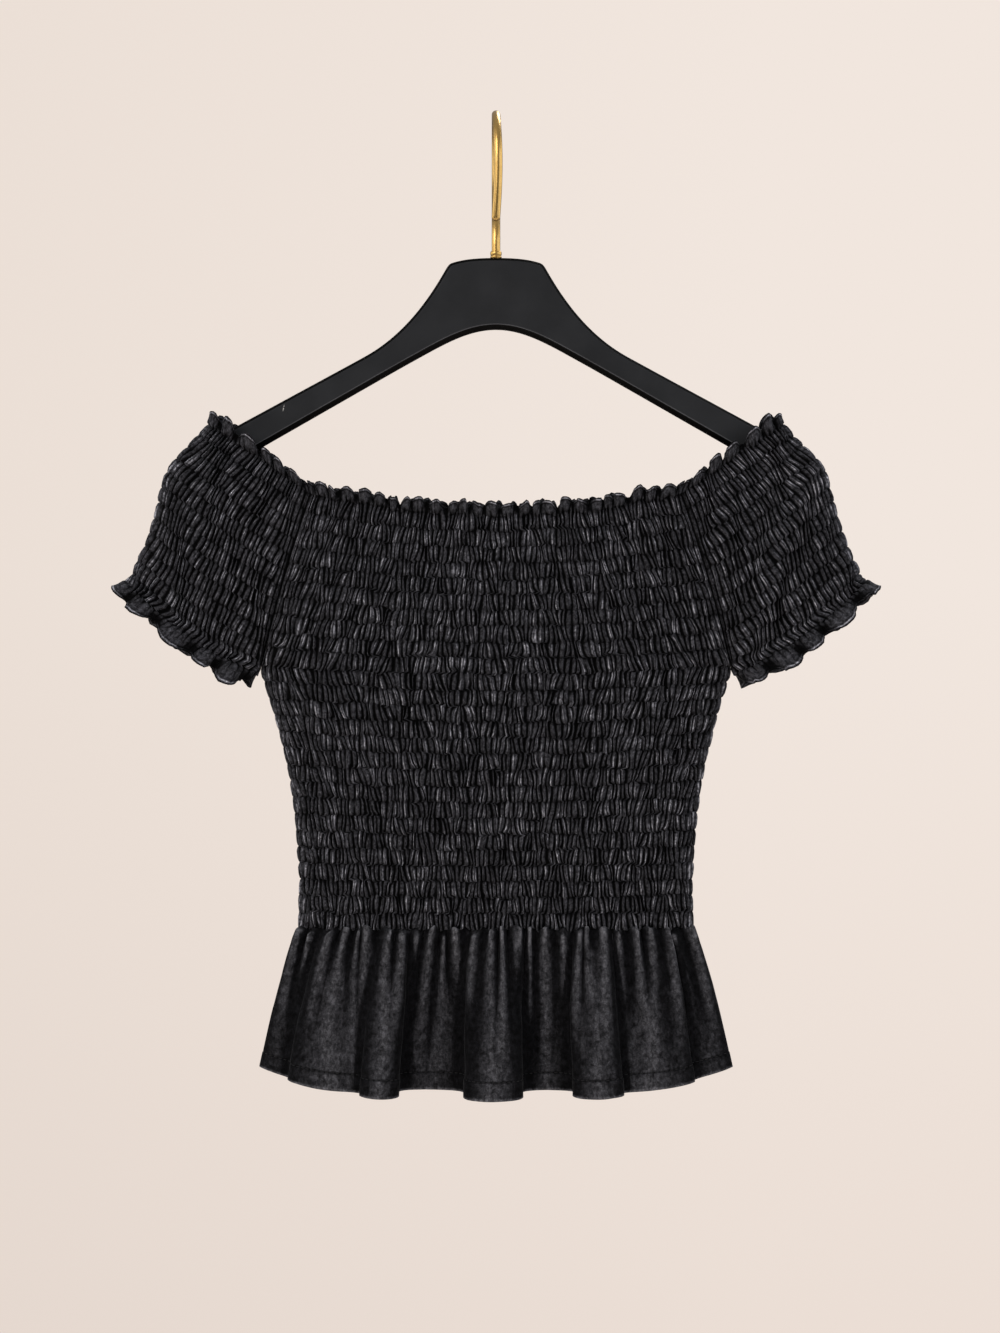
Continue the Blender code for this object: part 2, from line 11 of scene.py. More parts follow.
import bmesh
import bpy
import numpy as np
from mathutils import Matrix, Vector

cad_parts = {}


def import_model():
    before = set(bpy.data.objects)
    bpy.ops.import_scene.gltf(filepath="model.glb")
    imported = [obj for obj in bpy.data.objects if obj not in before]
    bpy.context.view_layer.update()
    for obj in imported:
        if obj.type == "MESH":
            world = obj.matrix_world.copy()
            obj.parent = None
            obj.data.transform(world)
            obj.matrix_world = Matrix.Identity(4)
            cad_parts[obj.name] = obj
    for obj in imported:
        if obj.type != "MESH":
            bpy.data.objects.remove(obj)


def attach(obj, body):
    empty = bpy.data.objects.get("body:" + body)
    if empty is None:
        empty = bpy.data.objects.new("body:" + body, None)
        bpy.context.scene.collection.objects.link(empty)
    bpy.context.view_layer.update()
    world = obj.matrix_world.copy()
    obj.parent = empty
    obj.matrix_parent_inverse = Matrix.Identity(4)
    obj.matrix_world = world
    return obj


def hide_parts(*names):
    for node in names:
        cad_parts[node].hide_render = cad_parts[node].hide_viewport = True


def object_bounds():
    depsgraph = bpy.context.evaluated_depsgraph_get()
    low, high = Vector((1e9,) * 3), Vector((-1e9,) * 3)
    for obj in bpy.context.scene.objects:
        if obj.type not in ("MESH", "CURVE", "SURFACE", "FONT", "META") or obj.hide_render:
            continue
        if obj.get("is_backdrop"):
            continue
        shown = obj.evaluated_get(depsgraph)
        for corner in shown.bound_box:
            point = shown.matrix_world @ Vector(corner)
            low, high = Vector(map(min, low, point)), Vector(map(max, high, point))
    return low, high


MM = 0.001

# Sizes shared with the solids
SEAM_GAP = 0.3 * MM
FINE_STEPS = 1200
ARMHOLE_BANDS = 10
LOWER_BANDS = 16
BANDS = ARMHOLE_BANDS + LOWER_BANDS
NECK_SEAM_Z = -263 * MM
NECK_CENTRE_Z = -278 * MM
UNDERARM_Z = -382 * MM
WAIST_Z = -566 * MM
ROW_DIP = 2.2
SEAM_DEPTH = 11 * MM
UNDERARM_TURN = 10.0
SIDE_ROUND = 4.0
ARMHOLE = ((-263, 129.5), (-303, 142.5), (-344, 154.3), (-382, 163.5))
SIDE_SEAM = (
    (-382, 163.5),
    (-397, 158.8),
    (-421, 151.7),
    (-449, 144.8),
    (-477, 139.9),
    (-505, 137.1),
    (-535, 135.4),
    (-566, 136.3),
)
BODY_DEPTH = ((-263, 13), (-330, 17), (-400, 20), (-480, 19), (-566, 16))
NECK_FRILL = 7 * MM

Place = namedtuple("Place", "x z")
SLEEVE_FOLD = (
    Place(199.0, -215.0),
    Place(215.0, -231.0),
    Place(228.6, -246.5),
    Place(232.3, -263.0),
    Place(237.0, -280.0),
    Place(242.0, -297.0),
    Place(253.5, -321.5),
)
SLEEVE_FRILL_INNER = Place(132 * MM, -256 * MM)
SLEEVE_FRILL_PEAK = Place(196 * MM, -206 * MM)
CUFF_INNER = Place(178.0 * MM, -397.5 * MM)
CUFF_OUTER = Place(266.5 * MM, -332.0 * MM)
CUFF_BULGE = 5 * MM
CUFF_FLARE = 1.15
NECK_EDGE_ROW, CUFF_EDGE_ROW = -1.0, 12.0
SLEEVE_ROUND = 6.0
SLEEVE_DEPTH = ((0.0, 12.0), (0.3, 14.5), (0.6, 16.0), (1.0, 13.5))

HEM_Z = -675.5 * MM
HEM_SIDE_LIFT = 13 * MM
HEM_LIFT_POWER = 4.0
HEM_FORWARD_DROP = 0.2
HEM_HALF_WIDTH = 164 * MM
HEM_OVERLAP = 5 * MM
FLARE_POWER = 0.75
Fold = namedtuple("Fold", "left right depth")
FRONT_FOLDS = (
    Fold(-163, -146, 8),
    Fold(-146, -95, 22),
    Fold(-95, -67, 36),
    Fold(-67, -23, 14),
    Fold(-23, 19, 39),
    Fold(19, 53, 15),
    Fold(53, 89, 35),
    Fold(89, 139, 20),
    Fold(139, 163, 8),
)
BACK_FOLDS = (
    Fold(-163, -136, 10),
    Fold(-136, -98, 30),
    Fold(-98, -58, 13),
    Fold(-58, -12, 37),
    Fold(-12, 30, 16),
    Fold(30, 70, 36),
    Fold(70, 104, 14),
    Fold(104, 143, 27),
    Fold(143, 163, 8),
)

HANGER_THICKNESS = 11 * MM
HEAD_TOP_Z = -97.3 * MM
HEAD_CORNER = Place(33 * MM, -101.5 * MM)
ARM_TOP_START = Place(92 * MM, -166.5 * MM)
ARM_BOTTOM_START = Place(60 * MM, -170.6 * MM)
ARM_END = Place(200 * MM, -237.7 * MM)
ARM_END_RADIUS = 11 * MM
ARM_SLOPE = math.radians(28.8)
ARCH_Z = -147.4 * MM
CIRCLE_HANDLE = 0.5523

WIRE_RADIUS = 3.0 * MM
HOOK_RADIUS = 33.0 * MM
HOOK_CENTRE_Z = WIRE_RADIUS - HOOK_RADIUS
SHANK_TOP_Z = -88 * MM
BEND_LOW_Z, BEND_HIGH_Z = -64 * MM, -57 * MM
TIP = Place(-30.5 * MM, -71.5 * MM)
HOOK_BOW = 1.6 * MM
BORE_DEPTH = 16 * MM
BORE_CLEARANCE = 0.3 * MM
FERRULE_HEIGHT = 4.6 * MM
FERRULE_RADIUS = 4.0 * MM

# Cloth as it is sewn
BAND_ROWS = (0.0, 0.07, 0.3, 0.7, 0.93)  # rows of points within a band of puffs
INSIDE_BAND_ROWS = (0, 2, 3)  # the ones among them that the inside has too
INSIDE_STEP = 3  # the inside has one column for this many of the face's
GROOVE = 0.9 * MM  # height of the cloth's face over its base in an elastic's groove
GROOVE_INSIDE = 0.2 * MM
INSIDE_SHARE = 0.45  # height of a puff's inside as a share of its face's
SEAM_HEIGHT = 1.2 * MM
SEAM_REACH = 2.5 * MM
SEAM_TURN = 6 * MM
FRILL_HALF = 0.4 * MM
FRILL_RISE = 1.3  # the frill's height over its solid's, which is drawn at its middle height
FRILL_SPREAD = 2.3 * MM  # how far the frill's ends spread to meet the sleeves' frills
WAIST_PULL = 1.2  # bands above the waist seam that its gathers pull up and down
# reach and length in mm, and how far into its wave each one starts
WAIST_WAVES = ((0.8, 11.3, 0.1), (0.65, 6.9, 0.4), (0.5, 17.1, 0.7))

# gathers across a piece, how far each band's gathers start beside the last one's (in gathers),
# how far they wander, lean and bend, how high they still are on the elastic, their full height,
# and how far all of them slant outward from one elastic to the next
Shirring = namedtuple("Shirring", "gathers spots jump wander lean bend pinch height slant")
GATHER_SPOTS = (0, 0.12, 0.3, 0.5, 0.7, 0.88)
BODICE_SHIRRING = Shirring(92, GATHER_SPOTS, 0.5, 0.75, 0.55, 0.22, 0.25, 2.8 * MM, 0.0)
SLEEVE_SHIRRING = Shirring(58, GATHER_SPOTS, 0.12, 0.35, 0.15, 0.1, 0.35, 3.2 * MM, 0.3)
GATHER_PITCH, GATHER_LENGTH = 3.1 * MM, 11.1 * MM
SLEEVE_BANDS = 12
CUFF_ELASTIC = 10.7  # the last row of elastic, on the solid's scale of rows

# a frill's loops, how far they come out, how much shorter it is where it's drawn in between
# them, the angle that it leans at, how uneven its height is, and its rows as shares of it
Frill = namedtuple("Frill", "loops reach dip tilt uneven rows")
NECK_ROWS = (1.0, 0.95, 0.89, 0.79, 0.66, 0.5, 0.33, 0.16)
CUFF_ROWS = (0.1, 0.22, 0.36, 0.5, 0.62, 0.71, 0.8, 0.89, 0.95, 1.0)
BODICE_FRILL = Frill(26, 3.2 * MM, 3.4 * MM, 0.3, 0.1, NECK_ROWS)
SLEEVE_FRILL = Frill(12, 4.2 * MM, 5.4 * MM, 0.3, 0.1, NECK_ROWS)
CUFF_FRILL = Frill(10, 5.0 * MM, 5.0 * MM, 0.5, 0.12, CUFF_ROWS)
FRILL_ROOT = 1.6 * MM  # how far a frill steps out at once over its last elastic
FRILL_PLEAT = 2.2 * MM  # how far the gathers run on into it as pleats

PEPLUM_GATHERS = 28
PEPLUM_SPOTS = 15  # columns of points to a gather
PEPLUM_PITCH = 16 * MM  # a gather's width laid flat
PEPLUM_HALF = 0.6 * MM
GATHER_TOPS = (-3.5, 2.5)  # where the gathers begin, in mm below the waist seam
RIDING_UP = 1.8 * MM  # how far those that begin above it ride up
HEM_TURN = 12 * MM
HEM_EXTRA = 0.3 * MM
ALLOWANCE, ALLOWANCE_HALF = 4 * MM, 0.55 * MM
STITCH = 2.7 * MM
STITCH_STEP = 3.6 * MM
# along a stitch: share of its length, lift from the cloth and radius in mm
STITCH_FORM = ((0.0, -0.25, 0.1), (0.12, 0.0, 0.26), (0.5, 0.12, 0.3), (0.88, 0.0, 0.26), (1.0, -0.25, 0.1))

# Colours by painted shading: near black for painted shade in valleys, recesses and bevels, pale for painted
# highlights and sheen on edges
SHIRRED_STOPS = (
    (0.0, "#000000"),
    (0.2, "#070708"),
    (0.34, "#28282b"),
    (0.6, "#343438"),
    (0.78, "#68686e"),
    (1.0, "#95959c"),
)
HANGING_STOPS = ((0.0, "#020203"), (0.3, "#121214"), (0.6, "#2b2b2e"), (1.0, "#56565a"))
LACQUER_STOPS = ((0.0, "#010101"), (0.35, "#131314"), (0.5, "#28292b"), (0.8, "#343537"), (1.0, "#5c5d60"))
SCUFF_PLACE = (-148.4 * MM, -5.5 * MM, -202.3 * MM)
SCUFF_SIZE = (0.45 * MM, 4 * MM, 2.9 * MM)
SCUFF_SLANT = math.radians(12)

# Studio
PHOTO_HEIGHT = 1333 * 0.7 * MM  # pixels, at 0.7 mm each
SENSOR = 36  # mm
CAMERA = (2.8 * MM, -3.0, -0.383)
AIM = (0, 0, -0.42)
FLOOR_Z, FLOOR_RADIUS = -1.5, 3.4
SoftBox = namedtuple("SoftBox", "name place size power tint")
SOFT_BOXES = (
    SoftBox("key", (-1.7, -1.9, 1.1), 2.2, 60, "#fffaf6"),
    SoftBox("fill", (2.1, -2.0, 0.3), 2.2, 22, "#f6f8ff"),
    SoftBox("side_left", (-1.9, 0.2, 0.0), 2.0, 16, "#ffffff"),
    SoftBox("side_right", (1.9, 0.2, 0.0), 2.0, 16, "#ffffff"),
    SoftBox("behind", (1.0, 1.8, 1.7), 1.5, 42, "#ffffff"),
)


def lerp(a, b, share):
    return a + (b - a) * share


def eased(share):
    share = np.clip(share, 0, 1)
    return share * share * (3 - 2 * share)


def through(rows, at):
    """The second column at a value of the first, on a smooth curve through the table's rows."""
    table = np.array(sorted(rows), float)
    xs, ys = table[:, 0], table[:, 1]
    at = np.clip(at, xs[0], xs[-1])
    slopes = np.gradient(ys, xs, edge_order=1)
    slopes[1:-1] = (ys[2:] - ys[:-2]) / (xs[2:] - xs[:-2])
    k = np.clip(np.searchsorted(xs, at) - 1, 0, len(xs) - 2)
    span = xs[k + 1] - xs[k]
    share = (at - xs[k]) / span
    rest = 1 - share
    start = ys[k] * rest * rest * (1 + 2 * share)
    end = ys[k + 1] * share * share * (1 + 2 * rest)
    return start + end + span * share * rest * (slopes[k] * rest - slopes[k + 1] * share)


def unit(vectors):
    return vectors / np.maximum(np.linalg.norm(vectors, axis=-1, keepdims=True), 1e-12)


def distances(line):
    """How far along a line each of its points is."""
    steps = np.linalg.norm(np.diff(line, axis=0), axis=1)
    return np.concatenate([[0.0], np.cumsum(steps)])


def between(values, places, at):
    """Points between those of a list, whose places along a line are given."""
    return np.stack([np.interp(at, places, values[:, k]) for k in range(3)], axis=-1)


def laid_out(line, shares):
    """Points at shares of a line's length."""
    along = distances(line)
    return between(line, along, np.asarray(shares) * along[-1])


def bezier(knots, t):
    """A point on the curve between two ends with a handle each, given in their order along it."""
    weights = ((1 - t) ** 3, 3 * (1 - t) ** 2 * t, 3 * (1 - t) * t * t, t**3)
    return sum((knot * w for knot, w in zip(knots, weights)), 0 * knots[0])


def patches(rows, columns, tall, wide, rng):
    """Soft random unevenness from -1 to 1, in patches of so many rows and columns."""
    down, across = np.arange(rows) / tall, np.arange(columns) / wide
    dots = rng.uniform(-1, 1, (int(down[-1]) + 3, int(across[-1]) + 3))
    i, j = down.astype(int), across.astype(int)
    a, b = eased(down - i)[:, None], eased(across - j)[None, :]
    upper = lerp(dots[np.ix_(i, j)], dots[np.ix_(i, j + 1)], b)
    lower = lerp(dots[np.ix_(i + 1, j)], dots[np.ix_(i + 1, j + 1)], b)
    return lerp(upper, lower, a)


def swaying(at, waves, rng):
    """Sum of slow waves, each with its reach and length and a start of its own."""
    return sum(reach * np.sin(2 * np.pi * (at / length + rng.random())) for reach, length in waves)


def some_otherwise(values, share, low, high, rng):
    """The values, with a share of them, picked at random, drawn again between two others."""
    picked = rng.random(values.shape) < share
    values[picked] = rng.uniform(low, high, int(picked.sum()))
    return values


# Forms of the garment


def row_end_z(row):
    if row <= ARMHOLE_BANDS:
        return lerp(NECK_SEAM_Z, UNDERARM_Z, row / ARMHOLE_BANDS)
    return lerp(UNDERARM_Z, WAIST_Z, (row - ARMHOLE_BANDS) / LOWER_BANDS)


def half_width(z):
    return through(ARMHOLE if z >= UNDERARM_Z else SIDE_SEAM, z / MM) * MM


def fallen(z):
    """How far down the armhole a height is, as a share that stays at 1 below it."""
    return min((NECK_SEAM_Z - z) / (NECK_SEAM_Z - UNDERARM_Z), 1.0)


def seam_depth(z):
    """How far the armhole's seam is from the middle plane."""
    return SEAM_DEPTH * math.sqrt(1 - fallen(z) ** 2)


def bodice_line(row, side):
    """A row across the base of the front (side -1) or back (side 1), in the order round the body."""
    end_z = row_end_z(row)
    centre_z = lerp(NECK_CENTRE_Z, WAIST_Z, row / BANDS)
    end_x = half_width(end_z) - (SEAM_GAP / 2 if row <= ARMHOLE_BANDS else 0)
    middle_y = through(BODY_DEPTH, end_z / MM) * MM
    power = lerp(1.0, 0.5, eased(fallen(end_z)))
    t = np.sin(np.linspace(-np.pi / 2, np.pi / 2, FINE_STEPS + 1)) * -side
    bow = np.maximum(1 - np.abs(t) ** SIDE_ROUND, 0) ** power
    y = side * (SEAM_GAP / 2 + lerp(seam_depth(end_z), middle_y, bow))
    z = lerp(centre_z, end_z, np.abs(t) ** ROW_DIP)
    return np.stack([t * end_x, y, z], axis=1)


def waist_rise(x):
    """How far the waist seam is pulled up or down by its gathers, across the garment."""
    waves = sum(a * np.sin(2 * np.pi * (x / MM / length + b)) for a, length, b in WAIST_WAVES)
    return waves * MM * eased((half_width(WAIST_Z) - np.abs(x)) / (10 * MM))


def sleeve_line(inner, outer, inner_y, middle_y, bulge):
    """A row round the base of the sleeve at +X: front seam, outer fold, back seam."""
    run = np.array([outer.x - inner.x, 0, outer.z - inner.z])
    down = -unit(np.array([-run[2], 0, run[0]]))
    opened = 1 - (inner_y / middle_y) ** 2
    turn = 1 - np.cos(np.linspace(0, np.pi, FINE_STEPS + 1))
    u = np.where(turn <= 1, turn, 2 - turn)
    side = np.where(turn <= 1, -1, 1)
    fold = np.maximum(1 - u**SLEEVE_ROUND, 0)
    seam = np.maximum(1 - opened * (1 - u) ** SLEEVE_ROUND, 0)
    sagging = down * (bulge * 4 * u * (1 - u))[:, None]
    line = np.array([inner.x, 0, inner.z]) + run * u[:, None] + sagging
    line[:, 1] = side * middle_y * np.sqrt(fold * seam)
    return line


def sleeve_base(row):
    """The sleeve's base at a row, from the neckline frill's edge to the cuff's edge."""
    if row < 0:
        depth = SLEEVE_DEPTH[0][1] * MM
        edge = sleeve_line(SLEEVE_FRILL_INNER, SLEEVE_FRILL_PEAK, SEAM_DEPTH, depth, 0)
        return lerp(sleeve_base(0), edge, row / NECK_EDGE_ROW)
    if row > ARMHOLE_BANDS:
        depth = SLEEVE_DEPTH[-1][1] * MM * CUFF_FLARE
        edge = sleeve_line(CUFF_INNER, CUFF_OUTER, 0.0, depth, CUFF_BULGE)
        share = (row - ARMHOLE_BANDS) / (CUFF_EDGE_ROW - ARMHOLE_BANDS)
        return lerp(sleeve_base(ARMHOLE_BANDS), edge, share)
    share = row / ARMHOLE_BANDS
    z = row_end_z(row)
    corners = np.array([(p.x * MM, 0, p.z * MM) for p in SLEEVE_FOLD])
    fold = laid_out(rounded(corners, 3), [share])[0]
    inner = Place(half_width(z) + SEAM_GAP / 2, z)
    seam_y = seam_depth(z) + SEAM_GAP / 2 if row < ARMHOLE_BANDS else 0.0
    depth = through(SLEEVE_DEPTH, share) * MM
    return sleeve_line(inner, Place(fold[0], fold[2]), seam_y, depth, CUFF_BULGE * share)


def rounded(line, times):
    """The line with its corners cut, its two ends kept."""
    for _ in range(times):
        starts, ends = line[:-1], line[1:]
        cuts = np.stack([lerp(starts, ends, 0.25), lerp(starts, ends, 0.75)], axis=1)
        line = np.concatenate([line[:1], cuts.reshape(-1, line.shape[1]), line[-1:]])
    return line


def hem_line(folds, side):
    """The hem from above, in the order round the body: each fold's edge stands over the next."""
    half, overlap = HEM_HALF_WIDTH / MM, HEM_OVERLAP / MM
    line = [(-half, 0), (-half, folds[0].depth * 0.7)]
    for k, (before, after) in enumerate(zip(folds, folds[1:])):
        forward = before.depth > after.depth
        if k:
            round_by = 3.5 if before.depth > folds[k - 1].depth or forward else -3.5
            line.append(((before.left + before.right) / 2, before.depth + round_by))
        edge = -2.5 if forward else 1.5
        line.append((before.right + (0 if forward else overlap), before.depth + edge))
        line.append((before.right - (overlap if forward else 0), after.depth - 1.0 - edge))
    line += [(half, folds[-1].depth * 0.7), (half, 0)]
    line = rounded(np.array(line, float) * MM, 4)
    x, y = line[:, 0], side * (line[:, 1] + SEAM_GAP / 2)
    lift = np.minimum(np.abs(x) / HEM_HALF_WIDTH, 1) ** HEM_LIFT_POWER
    z = HEM_Z + HEM_SIDE_LIFT * lift - HEM_FORWARD_DROP * np.abs(y)
    hem = np.stack([x, y, z], axis=1)
    return hem if side < 0 else hem[::-1]


def outward(grid):
    """The way out of the cloth at each point of a grid of rows that run down and round."""
    return unit(np.cross(np.gradient(grid, axis=0), np.gradient(grid, axis=1)))


def from_ends(grid, reach):
    """0 at the two ends of each of a grid's rows, and 1 from a reach away."""
    steps = np.linalg.norm(np.diff(grid, axis=1), axis=2)
    along = np.concatenate([np.zeros((len(grid), 1)), np.cumsum(steps, axis=1)], axis=1)
    return eased(np.minimum(along, along[:, -1:] - along) / reach)


def turned_at_ends(ways, grid, first, last):
    """The ways out, turned towards the given ones near the two ends of each row."""
    half = grid.shape[1] // 2
    target = np.repeat(np.stack([first, last], axis=1), [half, grid.shape[1] - half], axis=1)
    return unit(lerp(ways, target, 1 - from_ends(grid, SEAM_TURN)[..., None]))


def seam_ways(rows, side, hand, below):
    """The way out of the cloth at a seam's rows: along the armhole, and then what's given."""
    fall = np.clip(np.array(rows) / ARMHOLE_BANDS, 0, 1) ** UNDERARM_TURN
    along = unit(np.stack([0.5 * hand * fall, side * (1 - fall), -0.85 * fall], axis=1))
    after = eased(np.array(rows) - ARMHOLE_BANDS)[:, None]
    return unit(lerp(along, below, after))


def levelled(ways):
    return unit(ways * (1, 1, 0))


# Gathers


def columns_of(shirring):
    """Each column's place among the gathers, and its share of the way across its own gather."""
    spots = np.array(shirring.spots, float)
    place = (np.arange(shirring.gathers)[:, None] + spots).ravel()
    return np.append(place, shirring.gathers), np.append(np.tile(spots, shirring.gathers), 1.0)


def shirred(shirring, bands, rng, by_band):
    """Rows of puffs between rows of elastic: where each column lies across, how high, and its painted
    shading.

    Each puff is a gather with a peak and a dip on each side, and its own size at its two ends.
    A painted highlight runs along one edge of a puff or both, and painted shade fills the valleys
    between puffs and the elastic's grooves. Puffs have ends of their own in each band, or else run
    on as cords that the elastic only pinches.
    """
    place, spot = columns_of(shirring)
    count, per = shirring.gathers, len(shirring.spots)
    calm = np.clip(np.minimum(place, count - place) / 2.5, 0, 1)
    gather = np.minimum(np.arange(len(place)) // per, count - 1)
    across, height, painted_shading, rows = [], [], [], []
    from_valley = np.minimum(spot, 1 - spot)
    on_edge = np.interp(from_valley, (0, 0.12, 0.3, 0.5), (0, 0.5, 1, 0))
    on_top = np.interp(from_valley, (0.3, 0.5), (0, 1))
    on_left, on_right = (spot > 0) & (spot < 0.5), (spot > 0.5) & (spot < 1)
    slow = [
        (reach, length, rng.uniform(3, 8), rng.random())
        for reach, length in ((0.15, 5.3), (0.25, 9.7), (0.35, 17.0))
    ]
    peaks = rng.uniform(0.6, 1.1, (bands + 1, count))
    dips = rng.uniform(0.0, 0.1, (bands + 1, count + 1))
    crest = np.sin(np.pi * spot) ** 1.15
    pinches = shirring.pinch * rng.uniform(0.4, 1.6, (bands + 1, count))
    pinches = some_otherwise(pinches, 0.42, 0.45, 0.75, rng)
    pinches[bands] = rng.uniform(0.5, 0.9, count)
    skew = rng.uniform(-0.14, 0.14, (bands, count))
    for band in range(bands):
        start = rng.uniform(-1.0, 1.0) * shirring.jump
        own = swaying(place, ((0.1, 2.3), (0.15, 3.7), (0.2, 6.1)), rng) * shirring.wander + start
        lean = swaying(place, ((shirring.lean, 9.0), (shirring.lean / 2, 5.1)), rng)
        bend = swaying(place, ((shirring.bend, 7.0),), rng)
        lean = lean + shirring.slant * np.clip((0.5 - place / count) / 0.1, -1, 1)
        peak_ends, dip_ends = peaks[band : band + 2], dips[band : band + 2]
        if by_band:
            peak_ends = rng.uniform(0.65, 1.1, (2, count))
            dip_ends = rng.uniform(0.0, 0.1, (2, count + 1))
            merging = rng.random((2, count + 1)) < 0.06
            dip_ends[merging] = rng.uniform(0.4, 0.7)
        parted = some_otherwise(rng.uniform(0.0, 0.1, (2, count + 1)), 0.25, 0.16, 0.34, rng)
        pale = some_otherwise(rng.uniform(0.6, 0.95, (2, count)), 0.4, 0.38, 0.55, rng)
        top, brightest = rng.uniform(0.3, 0.42, count), rng.random(count)
        for t in BAND_ROWS:
            part = lerp(parted[0], parted[1], t)
            inset = part[gather] * (1 - 2 * spot) * on_left
            inset = inset - part[gather + 1] * (2 * spot - 1) * on_right
            sway = own + lean * (t - 0.5) + bend * 4 * t * (1 - t) + inset
            if not by_band:
                sway = sway + sum(
                    reach * np.sin(2 * np.pi * (place / length + (band + t) / tall + begin))
                    for reach, length, tall, begin in slow
                )
            peak = lerp(peak_ends[0], peak_ends[1], t)[gather]
            peak = peak * (1 + skew[band][gather] * np.sin(2 * np.pi * spot))
            dip = lerp(dip_ends[0], dip_ends[1], t)
            dip = np.where(spot < 0.5, dip[gather], dip[gather + 1])
            full = (1 - abs(2 * t - 1) ** 3.4) ** 0.7
            full = lerp(pinches[band + int(t > 0.5)][gather], 1.0, full)
            low_side = np.where(from_valley < 0.15, 1 - 1.6 * np.abs(inset), 1)
            edge = np.where(spot < 0.5, pale[0][gather], pale[1][gather])
            edge = edge * (1.15 - 0.6 * abs(t - brightest[gather]))
            # painted tone: painted highlight along a puff's edges, a mid tone on its top, painted shade in
            # the valleys
            painted_tone = on_edge * edge + on_top * top[gather] + 0.5 * dip * (1 - on_edge)
            across.append((place + calm * sway) / count)
            height.append(full * lerp(dip, peak, crest * low_side))
            # painted shade where the elastic pinches the puffs into grooves
            painted_shading.append(painted_tone * lerp(0.4, 1.0, full))
            rows.append(band + t)
    running_on = np.sin(np.pi * spot) * rng.uniform(0.15, 0.7, count)[gather]
    across.append(place / count)
    height.append(0.05 + running_on)
    painted_shading.append(0.12 + 0.5 * running_on)
    rows.append(float(bands))
    return np.array(rows), np.clip(np.array(across), 0, 1), np.array(height), np.array(painted_shading)


def inside_rows(bands, start):
    """The rows of a shirred piece's face that its inside has too, the first of them at start."""
    per = len(BAND_ROWS)
    rows = [band * per + k for band in range(bands) for k in INSIDE_BAND_ROWS] + [bands * per]
    return [start + row for row in rows]


def heights(puffs, shirring, grid):
    """Face and inside heights over the base, low at the seams."""
    low = 1 - from_ends(grid, SEAM_REACH)
    face = GROOVE + puffs * shirring.height
    inside = GROOVE_INSIDE + INSIDE_SHARE * (face - GROOVE)
    return lerp(face, SEAM_HEIGHT, low), lerp(inside, GROOVE_INSIDE, low)


def sagged(grid, rng, reach, tall, wide):
    """The grid with its rows a little uneven, up and down, and still at the seams."""
    down = unit(np.gradient(grid, axis=0))
    uneven = patches(grid.shape[0], grid.shape[1], tall, wide, rng)
    return grid + down * (uneven * from_ends(grid, 6 * MM) * reach)[..., None]


def kept_off_armhole(layers, within):
    """Keeps cloth on its own side of the armhole's seam: within it, or beyond it at +X."""
    seam = through(ARMHOLE, layers[0][..., 2] / MM) * MM
    low, high = seam + SEAM_GAP / 2, 1.0
    if within:
        low, high = SEAM_GAP / 2 - seam, seam - SEAM_GAP / 2
    for layer in layers:
        beside = np.clip(layer[..., 0], low, high)
        layer[..., 0] = np.where(layer[..., 2] > UNDERARM_Z, beside, layer[..., 0])


def frill(form, start, ways, edge, rng, pleats, fullness, calmed=1.0):
    """The free edge beyond the last elastic: its middle surface, and how far forward it lies.

    It leans out and snakes in and out, more so towards the edge, as wide cloth does: it comes
    out in wide round loops, and is shorter where it's drawn in between them. The gathers run on
    into it as small pleats.
    """
    place = np.linspace(0, 1, len(start)) * form.loops
    length = distances(start)[-1] / form.loops
    turn = 2 * np.pi * (place + swaying(place, ((0.09, 2.7), (0.14, 4.9)), rng))
    turn += np.pi / 2 - turn[len(start) // 2]
    size = 1 + swaying(place, ((0.16, 2.2), (0.2, 5.7)), rng)
    calm = from_ends(start[None], 6 * MM)[0]
    size = size * calmed * calm
    tall = (1 + form.uneven * swaying(place, ((0.6, 1.7), (0.5, 3.9)), rng)) * fullness
    drift = swaying(place, ((0.4, 3.1),), rng)
    grown = (edge - start) * tall[:, None]
    onward, sideways = unit(grown), unit(np.gradient(start, axis=0))
    low = start + ways * lerp(GROOVE_INSIDE, GROOVE, 0.5)
    made, forward = [], []
    for f in form.rows:
        grow = f**0.6
        phase = turn + 0.5 * f * drift
        side = (0.06 * np.sin(phase) + 0.03 * np.sin(2 * phase)) * length * size * grow
        out = form.reach * np.cos(phase) * size * grow
        curl = form.dip * 0.5 * (1 - np.cos(phase)) * size * f
        lean = np.linalg.norm(grown, axis=1) * 0.5 * math.sin(form.tilt) * f * f
        lean = lean + FRILL_ROOT * (1 - math.exp(-f / 0.07))
        lean = lean + FRILL_PLEAT * pleats * (1 - math.exp(-f / 0.05)) * (1 - f) ** 1.5
        middle = low + grown * f + ways * (lean * calm + math.cos(form.tilt) * out)[:, None]
        made.append(middle - onward * curl[:, None] + sideways * side[:, None])
        forward.append(0.5 + 0.5 * np.cos(phase) * calm)
    return np.array(made), np.array(forward)


def frill_painted_shading(shares, pleats, forward):
    """A frill's painted shading: a painted highlight line just inside its edge, and painted shade where
    it's drawn in and between its pleats near the root.
    """
    shares = np.array(shares)
    places, rubs = (0, 0.3, 0.68, 0.79, 0.89, 0.95, 1.0), (0.35, 0.5, 0.5, 0.2, 0.86, 0.4, 0.15)
    along = np.interp(shares, places, rubs)[:, None]
    folded = lerp(1.0, lerp(0.2, 1.15, forward), np.minimum(shares * 2.5, 1)[:, None])
    return along * folded * (1 - 0.75 * (1 - shares[:, None]) * (1 - pleats[None, :]))


def walls(middle, half):
    """Face and inside of a thin sheet on its middle surface."""
    ways = outward(middle)
    return middle + ways * half, middle - ways * half


